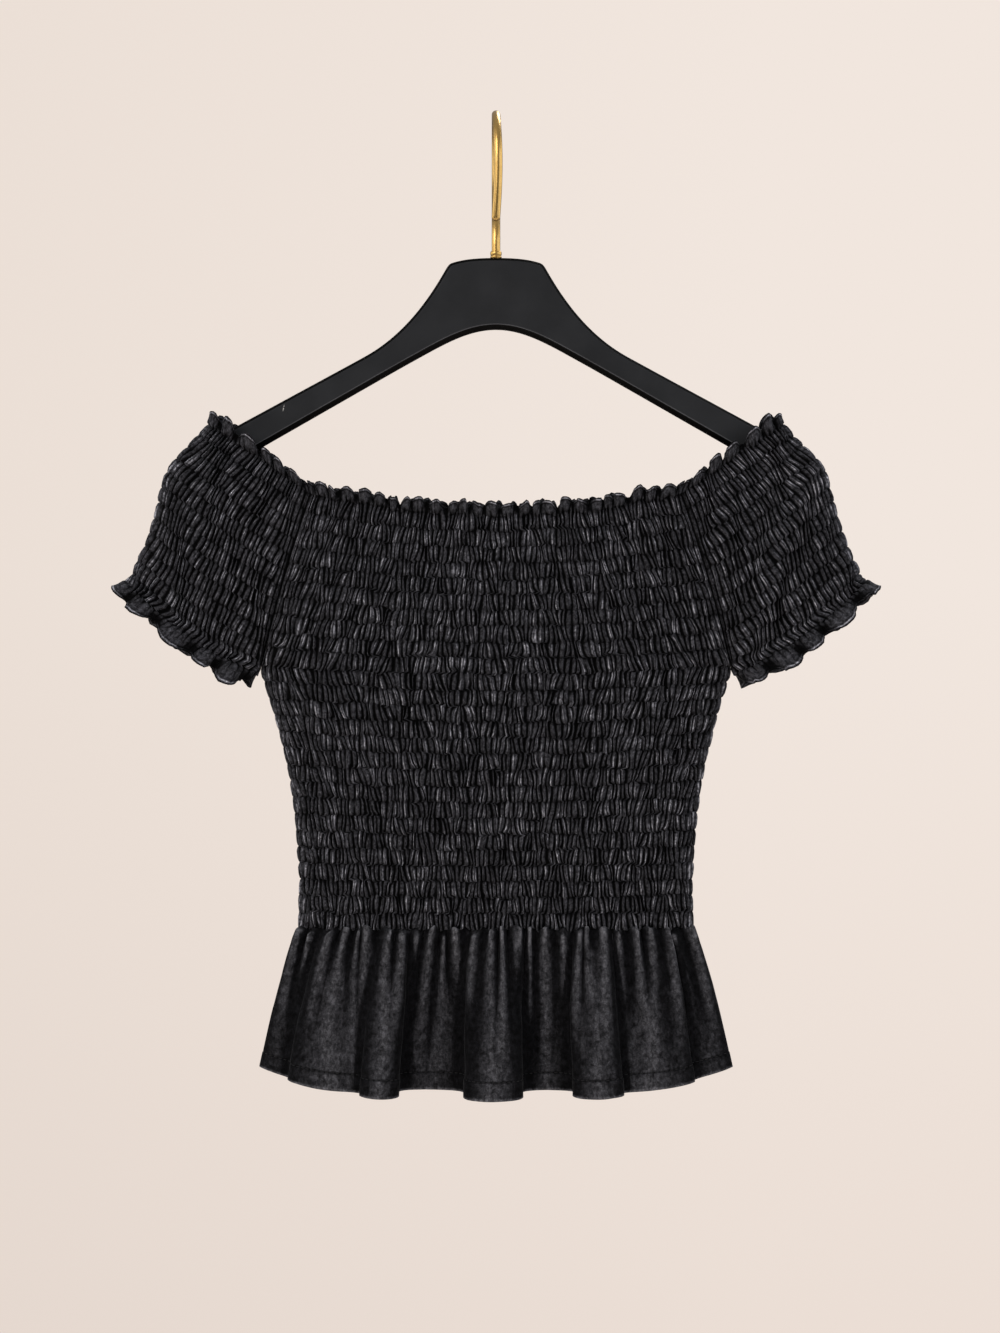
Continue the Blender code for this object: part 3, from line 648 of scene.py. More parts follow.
def frilled(layers, middle, above):
    """The cloth's face and inside, run on into a frill above it or below it."""
    meet = (layers[0] + layers[1]) / 2
    if above:
        free = walls(np.concatenate([middle, meet[:1]]), FRILL_HALF)
        return [np.concatenate([new[:-1], old]) for new, old in zip(free, layers)]
    free = walls(np.concatenate([meet[-1:], middle]), FRILL_HALF)
    return [np.concatenate([old, new[1:]]) for new, old in zip(free, layers)]


# Meshes


def added(name, data):
    """An object in the scene."""
    obj = bpy.data.objects.new(name, data)
    bpy.context.scene.collection.objects.link(obj)
    return obj


def finished(name, data, material, node):
    """A piece of the object: named, with its material, riding in place of a node."""
    obj = added(name, data)
    if not data.materials:
        data.materials.append(material)
    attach(obj, "root")
    if node:
        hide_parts(node)
    return obj


def mesh_from(name, made):
    """A mesh from what was put together, its faces turned outward."""
    bmesh.ops.recalc_face_normals(made, faces=made.faces)
    data = bpy.data.meshes.new(name)
    made.to_mesh(data)
    made.free()
    return data


def ringed(made, rings, looped=False):
    """Joins closed rings of points, and caps the two ends or joins them to each other."""
    rings = [[made.verts.new(point) for point in ring] for ring in rings]
    for a, b in zip(rings, rings[1:] + rings[:1] if looped else rings[1:]):
        for k in range(len(a)):
            after = (k + 1) % len(a)
            made.faces.new((a[k], a[after], b[after], b[k]))
    caps = [] if looped else [made.faces.new(rings[0][::-1]), made.faces.new(rings[-1])]
    return rings, caps


def cloth_mesh(name, layers, rows, step, painted_shading, flat, joined_from=None):
    """A closed wall from a face grid and the chosen rows and columns of an inside one.

    Each point carries its painted shading, and its place in metres on the cloth laid flat.
    From row joined_from on, the two side edges are one.
    """
    face = layers[0]
    last_row, last = face.shape[0] - 1, face.shape[1] - 1
    joined_from = last_row + 1 if joined_from is None else joined_from
    columns = list(range(0, last + 1, step))
    picked = np.ix_(rows, columns)
    out = np.arange((last_row + 1) * (last + 1)).reshape(last_row + 1, last + 1)
    into = out.size + np.arange(len(rows) * len(columns)).reshape(len(rows), len(columns))
    points = np.concatenate([face.reshape(-1, 3), layers[1][picked].reshape(-1, 3)])
    # the inside wall gets 0.6 of the face's painted shading, as painted shade inside the garment
    painted_tone = np.concatenate([painted_shading.ravel(), painted_shading[picked].ravel() * 0.6])
    places = np.zeros((len(points), 3))
    for axis in (0, 1):
        places[:, axis] = np.concatenate([flat[axis].ravel(), flat[axis][picked].ravel()])
    out[joined_from:, last] = out[joined_from:, 0]
    joined = np.array(rows) >= joined_from
    into[joined, -1] = into[joined, 0]
    squares = np.stack([out[:-1, :-1], out[1:, :-1], out[1:, 1:], out[:-1, 1:]], axis=-1)
    within = np.stack([into[:-1, :-1], into[:-1, 1:], into[1:, 1:], into[1:, :-1]], axis=-1)
    faces = squares.reshape(-1, 4).tolist() + within.reshape(-1, 4).tolist()
    for k, (a, b) in enumerate(zip(columns, columns[1:])):
        faces.append(out[0, a : b + 1].tolist() + [into[0, k + 1], into[0, k]])
        faces.append(out[last_row, a : b + 1].tolist()[::-1] + [into[-1, k], into[-1, k + 1]])
    for k, (a, b) in enumerate(zip(rows, rows[1:])):
        if b <= joined_from:
            faces.append(out[a : b + 1, 0].tolist()[::-1] + [into[k, 0], into[k + 1, 0]])
            faces.append(out[a : b + 1, last].tolist() + [into[k + 1, -1], into[k, -1]])
    used, numbered = np.unique(np.concatenate([np.ravel(f) for f in faces]), return_inverse=True)
    ends = np.cumsum([len(f) for f in faces])
    faces = [part.tolist() for part in np.split(numbered, ends[:-1])]
    data = bpy.data.meshes.new(name)
    data.from_pydata(points[used].tolist(), [], faces)
    data.attributes.new("painted_shading", "FLOAT", "POINT").data.foreach_set("value", painted_tone[used])
    laid = data.attributes.new("laid_flat", "FLOAT_VECTOR", "POINT")
    laid.data.foreach_set("vector", places[used].ravel())
    data.shade_smooth()
    data.update()
    return data


def bodice(name, node, side, seed, velour):
    """Front or back panel: a frill, then bands of puffs down to the waist."""
    rng = np.random.default_rng(seed)
    rows, across, puffs, painted_shading = shirred(BODICE_SHIRRING, BANDS, rng, by_band=True)
    grid = np.array([laid_out(bodice_line(v, side), share) for v, share in zip(rows, across)])
    grid = sagged(grid, rng, 1.0 * MM, 5, 30)
    grid = sagged(grid, rng, 1.9 * MM, 4, 7)
    pulled = eased((rows - BANDS + WAIST_PULL) / WAIST_PULL)[:, None]
    grid[..., 2] += waist_rise(grid[..., 0]) * pulled
    sideways = np.array([side, 0, 0])
    first, last = seam_ways(rows, side, side, sideways), seam_ways(rows, side, -side, -sideways)
    ways = turned_at_ends(outward(grid), grid, first, last)
    ways[-1] = levelled(ways[-1])
    drape = patches(*grid.shape[:2], 34, 40, rng) * 0.35 * MM
    drape = drape * from_ends(grid, 25 * MM) * eased((BANDS - rows) / 4)[:, None]
    both = heights(puffs, BODICE_SHIRRING, grid)
    layers = [grid + ways * (height + drape)[..., None] for height in both]
    kept_off_armhole(layers, within=True)

    edge = grid[0] + np.array([0, 0, NECK_FRILL * FRILL_RISE])
    towards_end = np.abs(grid[0][:, 0]) / np.abs(grid[0][:, 0]).max()
    edge[:, 0] += np.sign(edge[:, 0]) * FRILL_SPREAD * towards_end**8
    place, spot = columns_of(BODICE_SHIRRING)
    pleats = np.sin(np.pi * spot)
    middle, forward = frill(BODICE_FRILL, grid[0], ways[0], edge, rng, pleats, 1.1)
    layers = frilled(layers, middle, above=True)
    painted_shading = np.concatenate([frill_painted_shading(NECK_ROWS, pleats, forward), painted_shading])
    count = len(NECK_ROWS)
    picked = list(range(count)) + inside_rows(BANDS, count)
    down = [np.array(NECK_ROWS) * -NECK_FRILL, rows * (NECK_CENTRE_Z - WAIST_Z) / BANDS]
    flat = np.meshgrid(place * GATHER_PITCH, np.concatenate(down))
    data = cloth_mesh(name, layers, picked, INSIDE_STEP, painted_shading, flat)
    return finished(name, data, velour, node)


def sleeve(name, node, hand, seed, velour):
    """One sleeve: frilled at the neckline and the cuff, with long cords pinched by elastic."""
    rng = np.random.default_rng(seed)
    bands, across, puffs, painted_shading = shirred(SLEEVE_SHIRRING, SLEEVE_BANDS, rng, by_band=False)
    rows = bands / SLEEVE_BANDS * CUFF_ELASTIC
    grid = np.array([laid_out(sleeve_base(v), share) for v, share in zip(rows, across)])
    grid = sagged(grid, rng, 0.9 * MM, 5, 24)
    grid = sagged(grid, rng, 1.0 * MM, 5, 5)
    # painted shade along the armhole seams, within 4 mm of them
    painted_shading *= 1 - 0.5 * (1 - from_ends(grid, 4 * MM)) * (rows < ARMHOLE_BANDS)[:, None]
    natural = outward(grid)
    closing = unit(natural[:, :1] + natural[:, -1:])[:, 0]
    first, last = seam_ways(rows, -1, 1, closing), seam_ways(rows, 1, 1, closing)
    ways = turned_at_ends(natural, grid, first, last)
    high, low = heights(puffs, SLEEVE_SHIRRING, grid)
    closed_share = eased((rows - ARMHOLE_BANDS) / 0.5)[:, None]
    high = lerp(high, GROOVE + puffs * SLEEVE_SHIRRING.height, closed_share)
    layers = [grid + ways * height[..., None] for height in (high, low)]
    kept_off_armhole(layers, within=False)

    place, spot = columns_of(SLEEVE_SHIRRING)
    columns = place / SLEEVE_SHIRRING.gathers
    pleats = np.sin(np.pi * spot)
    at_fold = np.exp(-(((columns - 0.5) / 0.045) ** 2))
    calmed = 1 - 0.6 * at_fold
    edge = laid_out(sleeve_base(NECK_EDGE_ROW), columns)
    fullness = 1.32 - 0.64 * at_fold
    neck, neck_forward = frill(SLEEVE_FRILL, grid[0], ways[0], edge, rng, pleats, fullness, calmed)
    edge = laid_out(sleeve_base(CUFF_EDGE_ROW), columns)
    fullness = (1 - 0.15 * at_fold) * lerp(0.55, 1.0, eased(np.minimum(columns, 1 - columns) / 0.07))
    cuff, cuff_forward = frill(
        CUFF_FRILL, grid[-1], ways[-1], edge, rng, pleats, fullness * 1.12, calmed * fullness
    )
    layers = frilled(frilled(layers, neck, above=True), cuff, above=False)
    start = len(NECK_ROWS)
    end = start + len(grid)
    picked = [*range(start), *inside_rows(SLEEVE_BANDS, start), *range(end, end + len(CUFF_ROWS))]
    neck_painted_shading = frill_painted_shading(NECK_ROWS, pleats, neck_forward)
    painted_shading = np.concatenate([neck_painted_shading, painted_shading, frill_painted_shading(CUFF_ROWS, pleats, cuff_forward)])
    beyond = (SLEEVE_BANDS + np.array(CUFF_ROWS)) * GATHER_LENGTH
    down = [np.array(NECK_ROWS) * -NECK_FRILL, bands * GATHER_LENGTH, beyond]
    flat = np.meshgrid(place * GATHER_PITCH, np.concatenate(down))
    joined = start + int(np.argmax(rows > ARMHOLE_BANDS))
    joined = min(row for row in picked if row >= joined)
    for layer in layers:
        layer[joined:, 0] = layer[joined:, -1] = (layer[joined:, 0] + layer[joined:, -1]) / 2
    if hand < 0:
        layers = [layer[:, ::-1] * (-1, 1, 1) for layer in layers]
        painted_shading = painted_shading[:, ::-1]
    data = cloth_mesh(name, layers, picked, INSIDE_STEP, painted_shading, flat, joined)
    return finished(name, data, velour, node)


def stands_out(grid, reach, depth):
    """How far each point stands out among its neighbours in its row, from 0 in a fold to 1."""
    shares = []
    for row in grid:
        beside, out = row[:, 0], np.abs(row[:, 1])
        near = np.abs(beside[:, None] - beside[None, :]) < reach
        highest = np.where(near, out[None, :], -1).max(axis=1)
        shares.append(1 - np.clip((highest - out) / depth, 0, 1))
    return np.array(shares)


def peplum_rows(drop):
    """Shares of the drop: close together at the waist and at the hem's turn."""
    top = np.linspace(0, 12 * MM, 14)[:-1]
    middle = np.linspace(12 * MM, drop - HEM_TURN - 1.6 * MM, 46)
    turn = drop - HEM_TURN + np.array([-0.8, -0.3, 0.0, 0.3, 0.8, 1.6]) * MM
    hem = np.linspace(drop - HEM_TURN + 3.2 * MM, drop - 0.6 * MM, 6)
    return np.concatenate([top, middle, turn, hem, [drop - 0.2 * MM, drop]]) / drop


def peplum(name, node, folds, side, seed, velour):
    """Front or back of the peplum: gathered at the waist, deep folds, and a turned hem."""
    rng = np.random.default_rng(seed)
    place = np.arange(PEPLUM_GATHERS * PEPLUM_SPOTS + 1) / PEPLUM_SPOTS
    calm = np.clip(np.minimum(place, PEPLUM_GATHERS - place) / 1.5, 0, 1)
    sway = swaying(place, ((0.12, 1.9), (0.16, 3.1), (0.2, 5.3)), rng) * calm
    top, hem = bodice_line(BANDS, side), hem_line(folds, side)
    top[:, 2] -= SEAM_GAP
    drop = WAIST_Z - HEM_Z
    shares = peplum_rows(drop)
    grid = []
    for s in shares:
        across = (place + sway * (1 - s) ** 1.5) / PEPLUM_GATHERS
        high, low = laid_out(top, across), laid_out(hem, across)
        row = lerp(high, low, s**FLARE_POWER)
        row[:, 2] = lerp(high[:, 2], low[:, 2], s) + waist_rise(high[:, 0]) * (1 - s) ** 12
        grid.append(row)
    grid = np.array(grid)
    sideways = np.array([[side, 0.0, 0.0]] * len(grid))
    ways = turned_at_ends(outward(grid), grid, sideways, -sideways)
    ways[0] = levelled(ways[0])

    depth = shares * drop
    to_hem, below = drop - depth, depth[:, None]
    gather = np.minimum(place.astype(int), PEPLUM_GATHERS - 1)
    within = place - gather
    lengths = rng.uniform(35 * MM, 95 * MM, PEPLUM_GATHERS)
    lengths[rng.random(PEPLUM_GATHERS) < 0.25] += 40 * MM
    sizes = rng.uniform(3.0, 5.8, PEPLUM_GATHERS) * MM
    crest = np.sin(np.pi * within) ** 1.7
    starts = rng.uniform(*GATHER_TOPS, PEPLUM_GATHERS) * MM
    rise = eased((below - starts[gather]) / (3.5 * MM)) * 0.85 + 0.15
    fade = np.clip(1 - below / lengths[gather], 0, 1) ** 1.1
    ridges = (crest - 0.3) * sizes[gather] * fade * rise
    small = np.sin(np.pi * ((within * 3 + swaying(place, ((0.2, 1.3),), rng)) % 1)) ** 0.8
    ridges += small * 0.8 * MM * np.clip(1 - below / (20 * MM), 0, 1) * rise
    wide = np.sin(2 * np.pi * (place / 2.3 + swaying(place, ((0.2, 4.1),), rng)))
    ridges += wide * 0.9 * MM * eased(below / (20 * MM)) * eased((drop - below) / (60 * MM))
    for tall, across, reach in ((11, 26, 0.55 * MM), (5, 9, 0.16 * MM)):
        ridges += patches(*grid.shape[:2], tall, across, rng) * reach * eased(below / (8 * MM))
    pucker = np.sin(2 * np.pi * place * 6 + swaying(place, ((2.0, 3.3),), rng))
    ridges += pucker * 0.12 * MM * np.exp(-((to_hem - HEM_TURN) / (4 * MM)) ** 2)[:, None]
    still = from_ends(grid, 5 * MM)
    middle = grid + ways * (ridges * still + PEPLUM_HALF + 0.2 * MM)[..., None]
    riding_up = crest * np.clip(-starts[gather] / (2 * MM), 0, 1) * np.exp(-below / (2 * MM))
    middle[..., 2] += RIDING_UP * riding_up * still
    ways = turned_at_ends(outward(middle), grid, sideways, -sideways)

    half = np.full(len(shares), PEPLUM_HALF)
    half += HEM_EXTRA * eased((HEM_TURN + 0.5 * MM - to_hem) / (1.2 * MM))
    half -= 0.4 * MM * np.exp(-((to_hem - HEM_TURN) / (0.5 * MM)) ** 2)
    half[-1] *= 0.55
    layers = [middle + ways * out[:, None, None] for out in (half, -half)]
    picked = [k for k in range(len(shares)) if k % 2 == 0 or k >= len(shares) - 4]
    # painted shading of the peplum: painted shade in recesses between folds and beside steep walls, a
    # painted highlight where the cloth turns edge-on
    fronts, tops = stands_out(middle, 16 * MM, 15 * MM), stands_out(middle, 5.5 * MM, 2.2 * MM)
    edges = (1 - np.abs(ways[..., 1])) ** 1.5
    painted_shading = 0.68 * lerp(0.85, 1.0, fronts) * lerp(0.22, 1.0, tops) + 0.5 * edges * tops
    # near the waist: painted highlight on the gathers' crests and painted shade between them
    painted_shading *= lerp(1.0, 0.45 + 0.9 * (crest * rise) ** 2, np.exp(-below / (9 * MM)))
    # painted shade in the groove at the hem's turn
    painted_shading *= 1 - 0.6 * np.exp(-((to_hem - HEM_TURN) / (0.6 * MM)) ** 2)[:, None]
    painted_shading = np.clip(painted_shading, 0, 1)
    # pale along the hem's turned lower edge: painted highlight where the cloth turns under
    painted_shading[-3:] = 0.8
    flat = np.meshgrid(place * PEPLUM_PITCH, depth)
    data = cloth_mesh(name, layers, picked, 2, painted_shading, flat)
    piece = finished(name, data, velour, node)
    row = int(np.argmin(np.abs(to_hem - HEM_TURN)))
    return piece, middle[row] + ways[row] * (PEPLUM_HALF * 0.6), ways[row]


def seam_allowances(name, bars, velour):
    """Seams' two allowances, overlocked together and standing into the garment, as slim bars."""
    made = bmesh.new()
    for line, inward, across in bars:
        corners = (line - across, line + across, line + across + inward, line - across + inward)
        ringed(made, np.stack(corners, axis=1))
    data = mesh_from(name, made)
    shade = data.attributes.new("painted_shading", "FLOAT", "POINT")
    shade.data.foreach_set("value", [0.3] * len(data.vertices))
    return finished(name, data, velour, None)


def side_seams(hand):
    """The bars of one side's seams: armhole front and back, side seam, and the peplum's."""
    bars = []
    z = np.array([row_end_z(row) for row in np.linspace(0.2, ARMHOLE_BANDS - 0.6, 40)])
    x = hand * np.array([half_width(h) for h in z])
    seam_y = np.array([seam_depth(h) for h in z])
    zero = np.zeros_like(z)
    for side in (-1, 1):
        line = np.stack([x, side * seam_y, z], axis=1)
        reach = -side * np.minimum(ALLOWANCE, seam_y - 0.5 * MM)
        bars.append((line, np.stack([zero, reach, zero], 1), [ALLOWANCE_HALF, 0, 0]))
    z = np.array([row_end_z(row) for row in np.linspace(ARMHOLE_BANDS + 0.6, BANDS - 0.3, 50)])
    x = hand * np.array([half_width(h) for h in z])
    share = np.linspace(0.04, 0.985, 30)
    low_z = lerp(WAIST_Z - SEAM_GAP, HEM_Z + HEM_SIDE_LIFT, share)
    low_x = hand * lerp(half_width(WAIST_Z), HEM_HALF_WIDTH, share**FLARE_POWER)
    for along, height in ((x, z), (low_x, low_z)):
        line = np.stack([along, np.zeros_like(along), height], axis=1)
        bars.append((line, np.array([-hand * ALLOWANCE, 0, 0]), [0, ALLOWANCE_HALF, 0]))
    return bars


def waist_seam():
    bars = []
    for side in (-1, 1):
        line = bodice_line(BANDS, side)[15:-15:15]
        line[:, 2] += waist_rise(line[:, 0]) - SEAM_GAP / 2
        run = unit(np.gradient(line, axis=0))
        inward = np.stack([run[:, 1], -run[:, 0], np.zeros(len(run))], axis=1)
        inward = inward * np.where((inward * line).sum(axis=1) > 0, -1, 1)[:, None]
        bars.append((line, inward * ALLOWANCE, [0, 0, ALLOWANCE_HALF]))
    return bars


def hem_stitches(name, line, ways, thread):
    """Short threads lying end to end in the groove above a turned hem."""
    along = distances(line)
    made = bmesh.new()
    form = np.array(STITCH_FORM)
    turns = 2 * math.pi * np.arange(6) / 6
    for start in np.arange(2 * MM, along[-1] - 4 * MM, STITCH_STEP):
        at = start + STITCH * form[:, 0]
        spine, out = between(line, along, at), unit(between(ways, along, at))
        up = np.cross(out, unit(np.gradient(spine, axis=0)))
        centre = spine + out * form[:, 1:2] * MM
        rings = [
            [c + (u * math.cos(a) + o * math.sin(a)) * wide * MM for a in turns]
            for c, u, o, wide in zip(centre, up, out, form[:, 2])
        ]
        ringed(made, rings)
    data = mesh_from(name, made)
    data.shade_smooth()
    return finished(name, data, thread, None)


# Hanger


def hanger_outline():
    """The hanger's outline as (point, handle before, handle after), clockwise from the head."""
    along = Vector((math.cos(ARM_SLOPE), -math.sin(ARM_SLOPE)))
    up = Vector((math.sin(ARM_SLOPE), math.cos(ARM_SLOPE)))
    end, round_by = Vector(ARM_END), ARM_END_RADIUS * CIRCLE_HANDLE
    corner, top, bottom = Vector(HEAD_CORNER), Vector(ARM_TOP_START), Vector(ARM_BOTTOM_START)
    upper, lower = end + up * ARM_END_RADIUS, end - up * ARM_END_RADIUS
    tip = end + along * ARM_END_RADIUS
    half = [
        (corner, corner + Vector((-7, 2.2)) * MM, corner + Vector((16, -29.5)) * MM),
        (top, top - along * 28 * MM, top + along * 20 * MM),
        (upper, upper - along * 20 * MM, upper + along * round_by),
        (tip, tip + up * round_by, tip - up * round_by),
        (lower, lower + along * round_by, lower - along * 20 * MM),
        (bottom, bottom + along * 20 * MM, bottom - along * 26 * MM),
    ]
    head, arch = Vector((0, HEAD_TOP_Z)), Vector((0, ARCH_Z))
    across = Vector((20 * MM, 0))
    mirrored = [
        tuple(Vector((-v.x, v.y)) for v in (point, after, before))
        for point, before, after in reversed(half)
    ]
    return [(head, head - across, head + across), *half, (arch, arch + across, arch - across), *mirrored]


def outline_points():
    """The outline as closely spaced points, with its corners eased a little."""
    knots = hanger_outline()
    points = []
    for (a, _, leave), (b, arrive, _) in zip(knots, knots[1:] + knots[:1]):
        steps = max(int((b - a).length / (2.2 * MM)), 10)
        points += [tuple(bezier((a, leave, arrive, b), step / steps)) for step in range(steps)]
    line = np.array(points)
    for _ in range(2):
        line = (np.roll(line, 1, 0) + 2 * line + np.roll(line, -1, 0)) / 4
    return line


def hanger(lacquer):
    """Shaped board: flat faces, a slim round along its top and a wide bevel along its lower edge."""
    line = outline_points()
    run = np.roll(line, -1, 0) - np.roll(line, 1, 0)
    inward = unit(np.stack([run[:, 1], -run[:, 0]], axis=1))
    lower = eased(inward[:, 1] * 2.2 + 0.5)
    wide = lerp(2.1 * MM, 3.7 * MM, lower)
    drop = lerp(1.9 * MM, 4.0 * MM, lower)
    half = HANGER_THICKNESS / 2
    profile = (  # inset and depth in shares of the bevel's width and drop, and its painted shading: a painted highlight line at the bevel's edge, painted shade on the bevel
        (1.2, 0.0, 0.5),
        (1.1, 0.0, 0.8),
        (1.0, 0.03, 1.0),
        (0.92, 0.1, 0.5),
        (0.85, 0.2, 0.0),
        (0.2, 0.84, 0.0),
        (0.07, 0.96, 0.0),
        (0.0, 1.25, 0.1),
    )
    rings = [(line + inward * (wide * i)[:, None], -half + drop * d, r) for i, d, r in profile]
    rings += [(ring, -depth, painted_tone) for ring, depth, painted_tone in reversed(rings)]
    board = bmesh.new()
    painted_shading = board.verts.layers.float.new("painted_shading")
    places = [np.stack([ring[:, 0], depth, ring[:, 1]], axis=1) for ring, depth, _ in rings]
    made, flats = ringed(board, places)
    # painted shading per ring; along the top edge the painted highlight is held to half
    for corners, (_, _, painted_tone) in zip(made, rings):
        for corner, share in zip(corners, lower):
            corner[painted_shading] = lerp(min(painted_tone, 0.5), painted_tone, share)
    for face in board.faces:
        face.smooth = face not in flats
    data = mesh_from("lacquered_hanger", board)
    piece = finished("lacquered_hanger", data, lacquer, "hanger")
    cutter = shank_bore()
    cut = piece.modifiers.new("shank_bore", "BOOLEAN")
    cut.operation, cut.object = "DIFFERENCE", cutter
    graph = bpy.context.evaluated_depsgraph_get()
    bored = bpy.data.meshes.new_from_object(piece.evaluated_get(graph))
    piece.modifiers.clear()
    piece.data = bored
    bpy.data.objects.remove(cutter)
    return piece


def shank_bore():
    made = bmesh.new()
    radius, clear_above = WIRE_RADIUS + BORE_CLEARANCE, 6 * MM
    depth = BORE_DEPTH + clear_above
    sizes = {"segments": 32, "radius1": radius, "radius2": radius, "depth": depth}
    bmesh.ops.create_cone(made, cap_ends=True, **sizes)
    cutter = added("shank_bore", mesh_from("shank_bore", made))
    cutter.location.z = HEAD_TOP_Z + clear_above - depth / 2
    return cutter


def hook_path():
    """The wire's centre line: up from the bore, round behind the rail, over it and down in front."""
    path = [(0, HEAD_TOP_Z - BORE_DEPTH + BORE_CLEARANCE), (0, HEAD_TOP_Z)]
    knots = (
        Vector((0, SHANK_TOP_Z)),
        Vector((0, BEND_LOW_Z)),
        Vector((HOOK_RADIUS, BEND_HIGH_Z)),
        Vector((HOOK_RADIUS, HOOK_CENTRE_Z)),
    )
    path += [tuple(bezier(knots, t)) for t in np.linspace(0, 1, 33)]
    for angle in np.linspace(0, math.pi, 65)[1:]:
        path.append((HOOK_RADIUS * math.cos(angle), HOOK_CENTRE_Z + HOOK_RADIUS * math.sin(angle)))
    for share in np.linspace(0, 1, 19)[1:]:
        path.append((lerp(-HOOK_RADIUS, TIP.x, share * share), lerp(HOOK_CENTRE_Z, TIP.z, share)))
    places = []
    for y, z in path:
        share = (WIRE_RADIUS - z) / (WIRE_RADIUS - TIP.z)
        places.append(Vector((HOOK_BOW * math.sin(math.pi * share) if y < 0 else 0, y, z)))
    return places


def hook(brass):
    """Bent wire with a domed tip."""
    curve = bpy.data.curves.new("brass_hook", "CURVE")
    curve.dimensions, curve.use_fill_caps = "3D", True
    curve.bevel_depth, curve.bevel_resolution = WIRE_RADIUS, 8
    path = hook_path()
    last_way = (path[-1] - path[-2]).normalized()
    dome = [(math.sin(a), math.cos(a)) for a in np.linspace(0.2, 1.5, 8)]
    spline = curve.splines.new("POLY")
    spline.points.add(len(path) + len(dome) - 1)
    for point, place in zip(spline.points, path):
        point.co = (*place, 1)
    for point, (reach, radius) in zip(spline.points[len(path) :], dome):
        point.co = (*(path[-1] + last_way * WIRE_RADIUS * reach), 1)
        point.radius = radius
    spline.use_smooth = True
    return finished("brass_hook", curve, brass, "hanger_hook")


def ferrule(brass):
    """Turned collar round the shank: a bead over a plain foot."""
    low = HEAD_TOP_Z + SEAM_GAP
    inner, high = WIRE_RADIUS + 0.05 * MM, low + FERRULE_HEIGHT
    wide, bead = FERRULE_RADIUS, 0.45 * MM
    middle, tall = (low + high) / 2 + 0.7 * MM, (high - low) / 2 - 0.75 * MM
    profile = [(inner, high), (inner + 0.25 * MM, high)]
    for a in np.linspace(1.35, -1.35, 9):
        profile.append((wide - bead + bead * math.cos(a), middle + tall * math.sin(a)))
    profile += [(wide - 0.3 * MM, low + 1.1 * MM), (wide - 0.05 * MM, low + 0.9 * MM)]
    profile += [(wide, low + 0.7 * MM), (wide, low + 0.15 * MM), (wide - 0.1 * MM, low), (inner, low)]
    made = bmesh.new()
    turns = 2 * math.pi * np.arange(64) / 64
    ringed(made, [[(r * math.cos(a), r * math.sin(a), z) for a in turns] for r, z in profile], True)
    data = mesh_from("brass_ferrule", made)
    data.shade_smooth()
    return finished("brass_ferrule", data, brass, "hook_ferrule")


# Finishes


def colour(code):
    """A hex sRGB colour as linear light, opaque."""
    channels = [int(code[k : k + 2], 16) / 255 for k in (1, 3, 5)]
    linear = [c / 12.92 if c <= 0.04045 else ((c + 0.055) / 1.055) ** 2.4 for c in channels]
    return (*linear, 1.0)


def node(tree, kind, sockets=None, out=0, stops=(), **settings):
    """Adds a node with its settings, and gives one of its outputs.

    A socket is given a value, or an output to be linked from. Stops are a colour ramp's.
    """
    made = tree.nodes.new(kind)
    for name, value in settings.items():
        setattr(made, name, value)
    for name, value in (sockets or {}).items():
        if isinstance(value, bpy.types.NodeSocket):
            tree.links.new(value, made.inputs[name])
        else:
            made.inputs[name].default_value = value
    for _ in stops[2:]:
        made.color_ramp.elements.new(1.0)
    for k, (place, code) in enumerate(stops):
        element = made.color_ramp.elements[k]
        element.position, element.color = place, colour(code)
    return made.outputs[out] if len(made.outputs) else None


def material(name):
    """An empty material, its nodes, and where on the object they draw."""
    made = bpy.data.materials.new(name)
    made.use_nodes = True
    made.node_tree.nodes.clear()
    return made, made.node_tree, node(made.node_tree, "ShaderNodeTexCoord", out="Object")


def varied(tree, base, noise, low, high, darkest, lightest):
    """A colour made darker and lighter by noise, between two of its values."""
    sockets = {"Value": noise, "From Min": low, "From Max": high, "To Min": darkest, "To Max": lightest}
    share = node(tree, "ShaderNodeMapRange", sockets)
    mix = {"data_type": "RGBA", "blend_type": "MULTIPLY"}
    return node(tree, "ShaderNodeMix", {0: 1.0, 6: base, 7: share}, 2, **mix)


